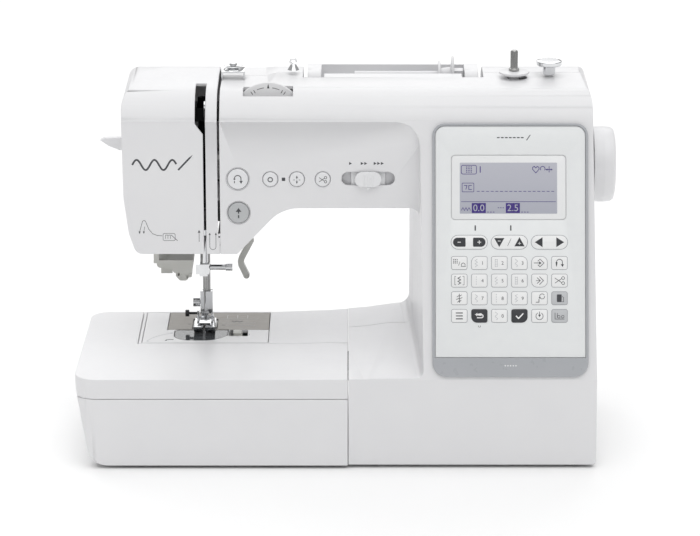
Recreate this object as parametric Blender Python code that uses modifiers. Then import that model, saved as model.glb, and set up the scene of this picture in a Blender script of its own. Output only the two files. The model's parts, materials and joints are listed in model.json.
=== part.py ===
"""A computerised domestic sewing machine with a free arm, as an assembly of separate pieces.

Sizes are in millimetres and MM turns them into Blender's metres. +X is to the operator's right, +Y is
away from the operator and +Z is up. The origin is on the table, under the middle of the machine.
"""

import math

import bmesh
import bpy
from mathutils import Matrix, Vector

MM = 0.001
GAP = 0.4            # between pieces that meet
RUNNING = 0.4        # radial play of a shaft or a button in its hole
WELD = 0.00001       # metres, closes seams of curves and turned shapes
ROUND = 24           # sides of a visible round piece
SMALL_ROUND = 12     # sides of a small or hidden round piece
ARC = 5              # segments of a rounded corner, twice as many on the large ones

# ---- housing ----
WALL = 2.5
BASE_Z = 2.5                 # underside of the base
BED_Z = 71.0                 # top of the sewing bed
FRONT_Y = -88.0              # front edge of the bed
BASE_FRONT_Y = -86.0         # foot of the base's front, which leans in a little
BACK_Y = 86.0
SPLIT_Y = 38.0               # where the front and rear covers meet
RIGHT_X = 188.0              # right side at the table
RIGHT_TOP_X = RIGHT_X - 3.8  # right side at the top
DECK_Z = 276.5               # front edge of the top deck
DECK_BACK_Z = 280.5
SHOULDER_R = 30.0
BACK_R = 34.0
ARM_FACE_Y = -28.0           # flat front of the arm
ARM_FACE_Z = 255.4           # top of that flat front
ARM_UNDER_Z = 188.0
HEAD_Z = 151.8               # underside of the head
SEAM_X = -97.0               # left edge of the front and rear covers
SEAM_GAP = 1.9               # the thread slot between them and the face cover
COLUMN_FRONT_X = 57.5        # left wall of the column 100 mm in front of the origin
COLUMN_BACK_X = 48.0         # and 100 mm behind it
STEP_INSET = 0.15            # keeps the arm's recess just clear of the column's wall
LOFT_Y = 100.0
OUTSIDE = 300.0              # safely outside the machine

# ---- free arm, bed extension ----
FREE_ARM_X = (-163.0, -0.2)
FREE_ARM_Z = 22.0
TRAY_LEFT_X = -206.5
TRAY_FOOT_X = TRAY_LEFT_X + 11.5
TRAY_RIGHT_X = -0.2
BASE_LEFT_X = 0.3
DOOR_TOP_Z = 55.2
DOOR_AXIS = (-83.6, 7.8)     # y, z
DOOR_R = 47.3
DOOR_WRAP_Y = -71.0
DOOR_CORNER_X = TRAY_LEFT_X + 22.5     # the door also takes the tray's curved corner

# ---- needle, hook and feed ----
NEEDLE_X, NEEDLE_Y = -113.0, 42.0
PRESSER_X, PRESSER_Y = -111.5, 53.0
NEEDLE_BAR_R = 3.2
CLAMP_SCREW = (41.0, 121.2)  # y, z of the screw that holds the needle
LEVER_W = 4.6                # width of the presser lever
FOOT_PIN = (48.2, 78.0)      # y, z of the pin the presser foot tilts on
FOOT_GAP = 1.2               # under the lowered presser foot, the room for a layer of cloth
LEVEL_PIN = (48.0, 81.2)     # y, z of the pin that holds the foot level
PRESSER_BAR_R = 3.0
HOOK_OFFSET = 20.0           # needle to bobbin centre
HOOK_Y = NEEDLE_Y - HOOK_OFFSET
BOBBIN_R, BOBBIN_H = 10.25, 11.5
BOBBIN_PLAY = 0.95           # between the bobbin and its case
CASE_WALL = 3.7
RACE_PLAY = 0.7              # between the case and the hook race
RACE_WALL = 1.8
CASE_R = BOBBIN_R + BOBBIN_PLAY + CASE_WALL
HOOK_R = CASE_R + RACE_PLAY + RACE_WALL
FREE_ARM_Y = (HOOK_Y - HOOK_R - 0.8 - WALL, 85.0)     # its front wall just clears the hook
PLATE_T = 2.4
PLATE_X = (-142.0, -62.4)
PLATE_FRONT_Y = 37.0

# ---- drive ----
SHAFT_Y, SHAFT_Z, SHAFT_R = 42.0, 204.5, 4.0
LOWER_Y, LOWER_Z = HOOK_Y, 38.0
PULLEY_X, PULLEY_W, PULLEY_R = 161.0, 8.0, 14.0
WHEEL_R = 29.4
WHEEL_X = (RIGHT_X + 1.6, RIGHT_X + 18.5)

# ---- control panel, lying on the column's sloping front ----
PANEL_W = 117.0
PANEL_Z = (73.0, 254.4)
PANEL_X = 122.0
BEZEL_RIM = 1.9
BEZEL_T = 1.9
BAND_H = 14.4
OVERLAY_T = 1.3
WINDOW = (-44.5, 42.0, 22.7, 71.6)    # left, right, bottom, top in the panel's own frame
WINDOW_T = 0.8
KEY_W, KEY_H, KEY_PITCH_X, KEY_PITCH_Y = 12.2, 10.2, 15.05, 13.25
KEY_ROWS, KEY_COLUMNS = 4, 6
KEY_RISE = 0.4
PILL_W, PILL_H, PILL_PITCH = 27.8, 10.9, 30.1
PILL_Y = 5.9                 # middle of the row of double keys
KEY_TOP_Y = -9.7             # middle of the first row of keys
KEYS_X = -0.8                # middle of the key field

# ---- arm controls ----
BUTTONS = {                  # x, z, radius
    "reverse_button": (-83.4, 211.0, 7.9),
    "start_stop_button": (-83.0, 184.6, 8.0),
    "reinforcement_button": (-58.8, 210.8, 5.6),
    "needle_position_button": (-38.7, 210.8, 5.6),
    "thread_cut_button": (-19.1, 210.8, 5.6),
}
BUTTON_RISE = 1.2
SLIDER_X, SLIDER_Z = 15.2, 211.2
SLIDER_SLOT = (40.4, 10.5)
SLIDER_KNOB = (20.2, 11.6)
DIAL_X, DIAL_R, DIAL_T = -60.5, 27.0, 3.4
DIAL_RIM = (-3.0, 280.5)     # y, z of the highest point of its face
DIAL_LEAN = math.radians(20.0)
DIAL_SLOT_W = 37.6
DIAL_SLOT_Y = (-14.6, 0.5)

# ---- top deck ----
POCKET_X = (-34.5, 103.5)
POCKET_Y = 35.5
POCKET_ARM_Y = 25.0
POCKET_Z = 258.0
HANDLE_X = (-31.0, 100.0)
HANDLE_ARM_W = 10.5
HANDLE_AXIS = (35.0, 272.0)  # y, z
HANDLE_END_R = 7.8
HANDLE_BAR_Y = 68.5
PIN_Y, PIN_Z, PIN_R = 52.0, 273.5, 2.7
PIN_X = (5.0, 85.0)
CAP_X = (69.5, 82.5)
CAP_R = 14.5
WINDER_X, WINDER_Y = 127.0, 24.0
WINDER_TRAVEL = 5.0
WINDER_R = 11.5
STOP_X, STOP_Y = 154.0, 28.0
TOP_Z = 299.0                # top of the winder spindle, the machine's highest point

# ---- sockets on the right side ----
SWITCH_Y, SWITCH_Z = 64.0, 74.0
SWITCH_SIZE = (13.0, 20.0)
INLET_Y, INLET_Z = 64.0, 40.0
INLET_SIZE = (24.0, 26.0)

COLOURS = {                  # sRGB hex, roughness, metallic
    "white_shell": ("E9E9EA", 0.38, 0.0),
    "light_grey": ("C9C9C6", 0.45, 0.0),
    "panel_grey": ("A9ABAE", 0.32, 0.3),
    "overlay": ("E4E6E6", 0.35, 0.0),
    "window": ("AAB1BC", 0.08, 0.0),
    "board_green": ("2E6B46", 0.5, 0.0),
    "chrome": ("D8D8D8", 0.12, 1.0),
    "steel": ("A6A6A4", 0.3, 1.0),
    "cast": ("8E9093", 0.6, 0.8),
    "black": ("1C1C1E", 0.45, 0.0),
    "rubber": ("3A3A3C", 0.9, 0.0),
    "clear": ("C8CDD0", 0.05, 0.0),
}


# ---------------------------------------------------------------- helpers

def clear_scene():
    for obj in list(bpy.data.objects):
        bpy.data.objects.remove(obj)


def make_collection(name):
    group = bpy.data.collections.new(name)
    bpy.context.scene.collection.children.link(group)
    return group


def linear(hex_text):
    values = [int(hex_text[i:i + 2], 16) / 255 for i in (0, 2, 4)]
    return [v / 12.92 if v <= 0.04045 else ((v + 0.055) / 1.055) ** 2.4 for v in values]


def material(name):
    found = bpy.data.materials.get(name)
    if found:
        return found
    colour, roughness, metallic = COLOURS[name]
    made = bpy.data.materials.new(name)
    made.use_nodes = True
    shader = made.node_tree.nodes["Principled BSDF"]
    shader.inputs["Base Color"].default_value = [*linear(colour), 1]
    shader.inputs["Roughness"].default_value = roughness
    shader.inputs["Metallic"].default_value = metallic
    return made


def shape(mesh, matrix):
    """Every shape starts among the cutters. part() makes it a piece of the machine."""
    obj = bpy.data.objects.new("shape", mesh)
    obj.matrix_world = matrix
    obj.hide_render = True
    obj.display_type = "WIRE"
    cutters.objects.link(obj)
    return obj


def part(name, obj, finish, pivot=None):
    """Names a shape as a piece and puts its origin on the point it moves about, in millimetres."""
    cutters.objects.unlink(obj)
    parts.objects.link(obj)
    obj.name = name
    obj.data.name = name
    obj.hide_render = False
    obj.display_type = "TEXTURED"
    obj.data.materials.append(material(finish))
    if pivot:
        spot = obj.matrix_world.inverted() @ (Vector(pivot) * MM)
        obj.data.transform(Matrix.Translation(-spot))
        obj.matrix_world = obj.matrix_world @ Matrix.Translation(spot)
    return obj


def boolean(obj, operation, others):
    for other in others:
        modifier = obj.modifiers.new(operation.title(), "BOOLEAN")
        modifier.operation = operation
        modifier.object = other
    return obj


def cut(obj, *others):
    return boolean(obj, "DIFFERENCE", others)


def keep(obj, *others):
    return boolean(obj, "INTERSECT", others)


def unite(obj, *others):
    return boolean(obj, "UNION", others)


def corner_offsets(corners, distance):
    """The same outline grown by a distance. Corners run anticlockwise as (a, b, radius)."""
    grown = []
    count = len(corners)
    for i, (a, b, radius) in enumerate(corners):
        here = Vector((a, b))
        before = Vector(corners[i - 1][:2])
        after = Vector(corners[(i + 1) % count][:2])
        into, out = (here - before).normalized(), (after - here).normalized()
        n_in, n_out = Vector((into.y, -into.x)), Vector((out.y, -out.x))
        moved = here + (n_in + n_out) * (distance / (1 + n_in.dot(n_out)))
        convex = into.x * out.y - into.y * out.x > 0
        new_radius = radius + distance if convex else radius - distance
        grown.append((moved.x, moved.y, max(new_radius, 0.0) if radius else 0.0))
    return grown


def rounded(corners, segments=None):
    """Points of an outline whose corners are (a, b, radius). Large corners get more segments than small ones."""
    points = []
    count = len(corners)
    for i, (a, b, radius) in enumerate(corners):
        here = Vector((a, b))
        if not radius:
            points.append(here)
            continue
        into = (Vector(corners[i - 1][:2]) - here).normalized()
        out = (Vector(corners[(i + 1) % count][:2]) - here).normalized()
        half = into.angle(out) / 2
        centre = here + (into + out).normalized() * (radius / math.sin(half))
        reach = radius / math.tan(half)
        start, end = here + into * reach - centre, here + out * reach - centre
        sweep = start.angle_signed(end)
        steps = segments or (ARC if radius < 10 else 2 * ARC)
        for k in range(steps + 1):
            points.append(centre + Matrix.Rotation(-sweep * k / steps, 2) @ start)
    return points


def spot(axis, centre, height):
    """A place in metres on a line along an axis. centre holds the two other coordinates in XYZ order."""
    places = {"X": (height, *centre), "Y": (centre[0], height, centre[1]), "Z": (*centre, height)}
    return Matrix.Translation(Vector(places[axis]) * MM)


def outline_plane(axis):
    """Stands a flat outline so that it faces along an axis, keeping its two coordinates in XYZ order."""
    if axis == "X":
        return Matrix(((0, 0, 1, 0), (1, 0, 0, 0), (0, 1, 0, 0), (0, 0, 0, 1)))
    if axis == "Y":
        return Matrix.Rotation(math.pi / 2, 4, "X")
    return Matrix.Identity(4)


def along(axis):
    """Turns a shape standing on Z so that it lies along X or Y."""
    if axis == "X":
        return Matrix.Rotation(math.pi / 2, 4, "Y")
    if axis == "Y":
        return Matrix.Rotation(-math.pi / 2, 4, "X")
    return Matrix.Identity(4)


def prism(points, axis, low, high, frame=None):
    """A flat outline extruded along an axis: a filled 2D curve, made a mesh so that it can be cut."""
    curve = bpy.data.curves.new("outline", "CURVE")
    curve.dimensions = "2D"
    curve.fill_mode = "BOTH"
    curve.extrude = (high - low) / 2 * MM
    spline = curve.splines.new("POLY")
    spline.points.add(len(points) - 1)
    for knot, (a, b) in zip(spline.points, points):
        knot.co = (a * MM, b * MM, 0, 1)
    spline.use_cyclic_u = True
    outline = bpy.data.objects.new("outline", curve)
    mesh = bpy.data.meshes.new_from_object(outline)
    bpy.data.objects.remove(outline)
    bm = bmesh.new()
    bm.from_mesh(mesh)
    bmesh.ops.remove_doubles(bm, verts=bm.verts, dist=WELD)
    bmesh.ops.dissolve_limit(bm, angle_limit=0.0005, verts=bm.verts, edges=bm.edges)
    bmesh.ops.recalc_face_normals(bm, faces=bm.faces)
    bm.to_mesh(mesh)
    bm.free()
    place = spot(axis, (0, 0), (low + high) / 2) @ outline_plane(axis)
    return shape(mesh, frame @ place if frame else place)


def loft(front, back, front_y, back_y):
    """A solid between two unlike outlines in x and z with the same number of points."""
    bm = bmesh.new()
    ends = []
    for points, y in ((front, front_y), (back, back_y)):
        verts = [bm.verts.new((x * MM, y * MM, z * MM)) for x, z in points]
        ends.append(bm.faces.new(verts))
    edges = [e for face in ends for e in face.edges]
    sides = bmesh.ops.bridge_loops(bm, edges=edges)["faces"]
    bmesh.ops.triangulate(bm, faces=sides)
    bmesh.ops.recalc_face_normals(bm, faces=bm.faces)
    mesh = bpy.data.meshes.new("loft")
    bm.to_mesh(mesh)
    bm.free()
    return shape(mesh, Matrix.Identity(4))


def box(x, y, z, frame=None):
    size = Vector((x[1] - x[0], y[1] - y[0], z[1] - z[0])) * MM
    middle = Vector((x[0] + x[1], y[0] + y[1], z[0] + z[1])) * (MM / 2)
    bm = bmesh.new()
    bmesh.ops.create_cube(bm, size=1, matrix=Matrix.Diagonal((*size, 1)))
    mesh = bpy.data.meshes.new("box")
    bm.to_mesh(mesh)
    bm.free()
    place = Matrix.Translation(middle)
    return shape(mesh, frame @ place if frame else place)


def rod(axis, centre, radius, low, high, sides=SMALL_ROUND, end_radius=None):
    """A cylinder or a cone along an axis."""
    bm = bmesh.new()
    bmesh.ops.create_cone(
        bm,
        cap_ends=True,
        segments=sides,
        radius1=radius * MM,
        radius2=(radius if end_radius is None else end_radius) * MM,
        depth=(high - low) * MM,
    )
    mesh = bpy.data.meshes.new("rod")
    bm.to_mesh(mesh)
    bm.free()
    return shape(mesh, spot(axis, centre, (low + high) / 2) @ along(axis))


def turned(axis, centre, profile, sides=ROUND, closed=False, frame=None):
    """A turned shape. Its profile is (radius, height along the axis), down the outer side from the top."""
    mesh = bpy.data.meshes.new("profile")
    edges = [(i, i + 1) for i in range(len(profile) - 1)]
    if closed:
        edges.append((len(profile) - 1, 0))
    base = sum(height for _, height in profile) / len(profile)
    mesh.from_pydata([(radius * MM, 0, (height - base) * MM) for radius, height in profile], edges, [])
    place = spot(axis, centre, base) @ along(axis)
    obj = shape(mesh, frame @ place if frame else place)
    screw = obj.modifiers.new("Turn", "SCREW")
    screw.steps = sides
    screw.render_steps = sides
    screw.use_merge_vertices = True
    screw.merge_threshold = WELD
    return obj


def stadium(x, z, width, height):
    radius = height / 2 - 0.01
    left, right, low, high = x - width / 2, x + width / 2, z - height / 2, z + height / 2
    return rounded([(left, low, radius), (right, low, radius), (right, high, radius), (left, high, radius)], 6)


def rectangle(left, right, low, high, radius=0.0):
    return [(left, low, radius), (right, low, radius), (right, high, radius), (left, high, radius)]


def strip_outline(path, width):
    """The outline of a bent flat bar of even width whose middle follows the path."""
    left, right = [], []
    for i, point in enumerate(path):
        here = Vector(point)
        into = (here - Vector(path[i - 1])).normalized() if i else None
        out = (Vector(path[i + 1]) - here).normalized() if i + 1 < len(path) else into
        into = into or out
        middle = (into + out).normalized()
        side = Vector((-middle.y, middle.x)) * (width / 2 / middle.dot(out))
        left.append(here + side)
        right.append(here - side)
    return right + left[::-1]


# ---------------------------------------------------------------- housing outlines

SLOPE = (ARM_FACE_Y - 0.2 - FRONT_Y) / (ARM_FACE_Z - BED_Z)     # the column's front leans back by this
SHOULDER_Z = 273.5
PROFILE = [                  # side view, y and z
    (BASE_FRONT_Y, BASE_Z, 0.0),
    (BACK_Y, BASE_Z, 0.0),
    (BACK_Y, DECK_BACK_Z, BACK_R),
    (0.0, DECK_Z, 0.0),
    (FRONT_Y + (SHOULDER_Z - BED_Z) * SLOPE, SHOULDER_Z, SHOULDER_R),
    (FRONT_Y, BED_Z, 0.0),
]
BODY = [                     # front view of the arm, column and base, x and z
    (SEAM_X, BASE_Z, 0.0),
    (RIGHT_X, BASE_Z, 4.0),
    (RIGHT_TOP_X, 281.0, 14.0),
    (-44.0, 281.0, 8.0),
    (-64.0, 275.8, 8.0),
    (SEAM_X, 275.8, 0.0),
]
HEAD = [                     # front view of the face cover
    (-161.0, HEAD_Z, 6.0),
    (SEAM_X - GAP, HEAD_Z, 0.0),
    (SEAM_X - GAP, HEAD_Z + 9.5, 0.0),
    (SEAM_X - SEAM_GAP, HEAD_Z + 11.0, 0.0),
    (SEAM_X - SEAM_GAP, 280.6, 0.0),
    (-171.3, 277.6, 13.0),
    (-170.2, 196.0, 40.0),
    (-166.6, 168.0, 20.0),
]


def throat(wall_x, ramp, fillet):
    """The open space between arm and bed, in front view. ramp is how far the bed rises to the column."""
    return [
        (-OUTSIDE, BED_Z, 0.0),
        (-60.0, BED_Z, 0.0),
        (-18.0, BED_Z + 0.16 * ramp, 0.0),
        (14.0, BED_Z + 0.45 * ramp, 0.0),
        (wall_x, BED_Z + ramp, fillet),
        (wall_x, ARM_UNDER_Z, 7.0),
        (-50.0, ARM_UNDER_Z, 30.0),
        (-84.5, HEAD_Z, 2.0),
        (-OUTSIDE, HEAD_Z, 0.0),
    ]


def anticlockwise(corners):
    """Outlines of a space run the same way as outlines of a solid."""
    area = sum(
        a[0] * b[1] - b[0] * a[1] for a, b in zip(corners, corners[1:] + corners[:1])
    )
    return corners if area > 0 else corners[::-1]


def throat_cutter(grow=0.0):
    front = corner_offsets(anticlockwise(throat(COLUMN_FRONT_X, 0.6, 5.0)), grow)
    back = corner_offsets(anticlockwise(throat(COLUMN_BACK_X, 9.0, 9.0)), grow)
    return loft(rounded(front, 7), rounded(back, 7), -LOFT_Y, LOFT_Y)


def face_recess(grow=0.0):
    """Takes the column's slope off the arm, so that the arm's front is flat."""
    step = (COLUMN_FRONT_X - COLUMN_BACK_X) * (LOFT_Y + ARM_FACE_Y + grow) / (2 * LOFT_Y)
    outlines = []
    for wall in (COLUMN_FRONT_X, COLUMN_FRONT_X - step):
        right = wall - STEP_INSET
        corners = [
            (-OUTSIDE, 140.0, 0.0), (right, 140.0, 0.0), (right, ARM_FACE_Z, 18.0),
            (-OUTSIDE, ARM_FACE_Z, 0.0),
        ]
        outlines.append(rounded(corner_offsets(corners, grow), 7))
    return loft(*outlines, -LOFT_Y, ARM_FACE_Y + grow)


def top_pocket(grow=0.0):
    """The well in the deck that holds the handle and the spool pin."""
    low = POCKET_Z - grow
    main = box((POCKET_X[0] - grow, POCKET_X[1] + grow), (POCKET_Y - grow, LOFT_Y), (low, 300))
    well = main
    for x0, x1 in ((POCKET_X[0], POCKET_X[0] + 16.0), (POCKET_X[1] - 16.0, POCKET_X[1])):
        arm = box((x0 - grow, x1 + grow), (POCKET_ARM_Y - grow, LOFT_Y - 1), (low - 0.01, 299))
        unite(well, arm)
    return well


def inner_profile():
    """The side view inside the wall, open at the bottom."""
    inside = corner_offsets(PROFILE, -WALL)
    lowered = [(y, -10.0, r) if z < BASE_Z + WALL + 1 else (y, z, r) for y, z, r in inside]
    return rounded(lowered)


def body_cavity():
    """The hollow inside the front and rear covers."""
    hollow = prism(inner_profile(), "X", -120, RIGHT_X + 5)
    inside = corner_offsets(BODY, -WALL)
    left_end, low_end = SEAM_X + WALL + 1, BASE_Z + WALL + 1
    inside = [(-130.0 if x < left_end else x, -9.0 if z < low_end else z, r) for x, z, r in inside]
    keep(hollow, prism(rounded(inside), "Y", -LOFT_Y - 2, LOFT_Y + 2))
    cut(hollow, throat_cutter(WALL), face_recess(WALL), top_pocket(WALL))
    cut(hollow, box((-OUTSIDE, BASE_LEFT_X + WALL), (-LOFT_Y, LOFT_Y), (-20, 130)))
    return hollow


def body_cover(name, y_low, y_high, shared):
    """The front or the rear half of the arm, column and base."""
    cover = part(name, prism(rounded(PROFILE), "X", SEAM_X - 5, RIGHT_X + 5), "white_shell")
    keep(cover, prism(rounded(BODY), "Y", y_low, y_high))
    cut(cover, *shared)
    return cover


# ---------------------------------------------------------------- housing pieces

def slope_frame():
    """The control panel's own frame: X right, Y up the slope, Z out of it."""
    middle_z = sum(PANEL_Z) / 2
    middle_y = FRONT_Y + (middle_z - BED_Z) * SLOPE
    turn = Matrix.Rotation(math.atan2(1, SLOPE), 4, "X")
    return Matrix.Translation(Vector((PANEL_X, middle_y, middle_z)) * MM) @ turn


def make_covers():
    bed_clear = box((-OUTSIDE, BASE_LEFT_X), (-LOFT_Y, LOFT_Y), (-20, 130))
    arm_passage = box((-5, BASE_LEFT_X + WALL + 2), (5, 81), (26, 66))
    shaft_hole = rod("X", (SHAFT_Y, SHAFT_Z), SHAFT_R + 2, RIGHT_X - 13, RIGHT_X + 7, ROUND)
    shared = [throat_cutter(), face_recess(), top_pocket(), bed_clear, body_cavity(), arm_passage, shaft_hole]
    front = body_cover("front_cover", -LOFT_Y - 1, SPLIT_Y, shared)
    rear = body_cover("rear_cover", SPLIT_Y + GAP, LOFT_Y + 1, shared)

    for x, z, radius in BUTTONS.values():
        cut(front, rod("Y", (x, z), radius + RUNNING, ARM_FACE_Y - 5, ARM_FACE_Y + 6, ROUND))
    slot = stadium(SLIDER_X, SLIDER_Z, *SLIDER_SLOT)
    cut(front, prism(slot, "Y", ARM_FACE_Y - 5, ARM_FACE_Y + 6))
    half = DIAL_SLOT_W / 2
    cut(front, box((DIAL_X - half, DIAL_X + half), DIAL_SLOT_Y, (262, 290)))
    reach, deep = DIAL_R + GAP, -DIAL_T - GAP
    room = [(0, GAP), (reach, GAP), (reach, deep), (0, deep)]
    dial_room = turned("Z", (0, 0), room, 36, frame=dial_frame())
    cut(front, dial_room)
    winder_slot = rectangle(WINDER_X - 5, WINDER_X + 5 + WINDER_TRAVEL, WINDER_Y - 5, WINDER_Y + 5, 4.5)
    cut(front, prism(rounded(winder_slot), "Z", 268, 290))
    left, right, low, high = WINDOW
    cut(front, prism(rounded(rectangle(left + 2, right - 2, low + 2, high - 2)), "Z", -8, 8, slope_frame()))

    lever_slot = box((SEAM_X - 5, -48), (PRESSER_Y + 8.6, PRESSER_Y + 17.4), (140, 183))
    cut(rear, lever_slot)
    side = (RIGHT_X - 12, RIGHT_X + 5)
    for y, z, (width, height) in ((SWITCH_Y, SWITCH_Z, SWITCH_SIZE), (INLET_Y, INLET_Z, INLET_SIZE)):
        half_w, half_h = width / 2 + GAP, height / 2 + GAP
        hole = box(side, (y - half_w, y + half_w), (z - half_h, z + half_h))
        cut(rear, hole)
    cut(rear, box((18, 46), (BACK_Y - 6, BACK_Y + 5), (42, 49)))


def make_face_cover():
    """The left cover of the head, with the thread slot and the window over the take-up lever."""
    cover = part("face_cover", prism(rounded(PROFILE), "X", -180, -90), "white_shell")
    keep(cover, prism(rounded(HEAD), "Y", -LOFT_Y, LOFT_Y))
    hollow = prism(inner_profile(), "X", -185, -85)
    inside = corner_offsets(HEAD, -WALL)
    inside = [(-80.0 if x > -105 else x, z, r) for x, z, r in inside]
    inside = inside[:2] + inside[4:]
    keep(hollow, prism(rounded(inside), "Y", -LOFT_Y - 1, LOFT_Y + 1))
    cut(hollow, face_recess(WALL))
    cut(cover, face_recess(), hollow)
    thread_slot = [
        (-115.5, 300), (-115.5, 253.5), (-109.5, 245.6), (-109.5, 140), (-107.6, 140), (-107.6, 300),
    ]
    cut(cover, prism(thread_slot, "Y", -60, 8))
    cut(cover, box((-157.5, -101), (15.5, 72), (145, 160)))
    cut(cover, box((-185, -165), (THREADER_Y - 3.4, THREADER_Y + 3.4), (168, 234)))


def make_base():
    part("base_plate", box((3.6, RIGHT_X - 4), (-83, 83), (BASE_Z, BASE_Z + 2.4)), "light_grey")
    for i, (x, y) in enumerate(((20, -72), (RIGHT_X - 16, -72), (RIGHT_X - 16, 72), (20, 72))):
        foot = turned("Z", (x, y), [(0, BASE_Z - 0.3), (8.5, BASE_Z - 0.3), (7.5, 0.0), (0, 0.0)], 16)
        part(f"rubber_foot_{i + 1}", foot, "rubber")


def make_free_arm():
    y0, y1 = FREE_ARM_Y
    x0, x1 = FREE_ARM_X
    section = [(y0, FREE_ARM_Z, 14.0), (y1, FREE_ARM_Z, 14.0), (y1, 90.0, 0.0), (y0, 90.0, 0.0)]
    sleeve = part("free_arm_cover", prism(rounded(section), "X", x0, x1), "white_shell")
    hollow = prism(rounded(corner_offsets(section, -WALL)), "X", x0 + WALL, x1 + 5)
    cut(hollow, throat_cutter(WALL))
    cut(sleeve, throat_cutter(), hollow)
    opening = box((x0 + WALL, PLATE_X[1] + GAP), (y0 + WALL, y1 - WALL), (60, 90))
    cut(sleeve, opening)

    top, under = BED_Z, BED_Z - PLATE_T
    inside_x, inside_y = (x0 + WALL + GAP, PLATE_X[1]), (y0 + WALL + GAP, y1 - WALL - GAP)
    cover = part("needle_plate_cover", box(inside_x, inside_y, (under, top)), "white_shell")
    plate_room = box((PLATE_X[0] - GAP, -50), (PLATE_FRONT_Y - GAP, 90), (60, 80))
    bobbin_room = prism(rounded(bobbin_opening(GAP)), "Z", 60, 80)
    x0, x1, y0, y1 = LATCH
    latch_room = box((x0 - GAP, x1 + GAP + LATCH_TRAVEL), (y0 - GAP, y1 + GAP), (60, 80))
    cut(cover, plate_room, bobbin_room, latch_room)

    plate = part("needle_plate", box(PLATE_X, (PLATE_FRONT_Y, inside_y[1]), (under, top)), "steel")
    cut(plate, box((NEEDLE_X - 4.2, NEEDLE_X + 4.2), (NEEDLE_Y - 2.3, NEEDLE_Y + 0.3), (60, 80)))
    for offset, y_low in FEED_ROWS:
        x = NEEDLE_X + offset
        cut(plate, box((x - 1.4, x + 1.4), (y_low - 3, FEED_END_Y + 3), (60, 80)))

    lid = prism(rounded(bobbin_opening(0.0)), "Z", under + 0.4, top - 0.2)
    part("bobbin_cover", lid, "clear")
    latch = part("bobbin_cover_latch", box((x0, x1), (y0, y1), (under + 0.4, top - 0.9)), "light_grey")
    unite(latch, box((x0 + 3.4, x1 - 0.6), (y0 + 3.0, y1 - 2.0), (under + 1, top + 0.5)))
    unite(latch, box((x0 + 0.2, x0 + 1.2), (y0 + 0.6, y1 - 0.6), (under + 1.1, top - 0.1)))


LATCH = (-93.0, -83.0, 21.0, 35.4)      # left, right, front and back of the bobbin cover's latch
LATCH_TRAVEL = 4.0


def bobbin_opening(grow):
    """The window over the bobbin, straight along the needle plate and rounded in front."""
    back = PLATE_FRONT_Y - 2 * GAP
    corners = [
        (-136.0, back - 26.6, 13.0), (-104.0, back - 26.6, 18.0), (-94.4, back - 14.0, 8.0),
        (-94.4, back, 0.0),
        (-136.0, back, 3.0),
    ]
    return corner_offsets(corners, grow)


def tray_plan():
    x0, x1 = TRAY_LEFT_X, TRAY_RIGHT_X
    inner_y, inner_x = FREE_ARM_Y[0] - GAP, FREE_ARM_X[0] - GAP
    return [
        (x0, FRONT_Y, 17.0),
        (x1, FRONT_Y, 0.0),
        (x1, inner_y, 0.0),
        (inner_x, inner_y, 0.0),
        (inner_x, FREE_ARM_Y[1], 0.0),
        (x0 + 2, FREE_ARM_Y[1], 16.0),
    ]


def tray_front():
    return [
        (TRAY_FOOT_X, BASE_Z, 16.0),
        (TRAY_RIGHT_X, BASE_Z, 0.0),
        (TRAY_RIGHT_X, 90.0, 0.0),
        (TRAY_LEFT_X, 90.0, 0.0),
        (TRAY_LEFT_X, 66.0, 0.0),
    ]


def door_region(grow):
    """Everything that swings with the accessory door: the front wall and the curved left corner."""
    y, z = DOOR_AXIS
    top = DOOR_TOP_Z + grow
    front = [(-95.0, -5.0), (FRONT_Y + 3.2 + grow, -5.0), (FRONT_Y + 3.2 + grow, top), (-95.0, top)]
    region = prism(front, "X", -OUTSIDE, 10)
    reach = DOOR_R + grow
    wrap_y = DOOR_WRAP_Y + grow
    start = math.acos((wrap_y - y) / reach)
    end = math.acos((FRONT_Y + 1 - y) / reach)
    turns = [start + (end - start) * k / 6 for k in range(7)]
    arc = [(y + reach * math.cos(turn), z + reach * math.sin(turn)) for turn in turns]
    corner = [(-94.0, 9.0 - grow), (wrap_y, 9.0 - grow)] + arc + [(-94.0, arc[-1][1])]
    unite(region, prism(corner, "X", -OUTSIDE + 1, DOOR_CORNER_X + grow))
    return region


def make_tray():
    def shell(name, pivot=None):
        body = part(name, prism(rounded(tray_plan()), "Z", BASE_Z - 5, 95), "white_shell", pivot)
        keep(body, prism(rounded(tray_front()), "Y", -LOFT_Y, LOFT_Y))
        hollow = prism(rounded(corner_offsets(tray_plan(), -WALL)), "Z", BASE_Z - 4, 94)
        inside = rounded(corner_offsets(tray_front(), -WALL))
        keep(hollow, prism(inside, "Y", -LOFT_Y - 1, LOFT_Y + 1))
        cut(hollow, throat_cutter(WALL))
        return cut(body, throat_cutter(), hollow)

    tray = shell("flat_bed_tray")
    y, z = DOOR_AXIS
    cut(tray, door_region(GAP))
    cut(tray, rod("X", (y, z), 7.2, -OUTSIDE, 10, ROUND))
    door = keep(shell("accessory_door", (-95.0, y, z)), door_region(0.0))
    unite(door, rod("X", (y, z), 2.3, DOOR_CORNER_X, -6, SMALL_ROUND))


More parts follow.
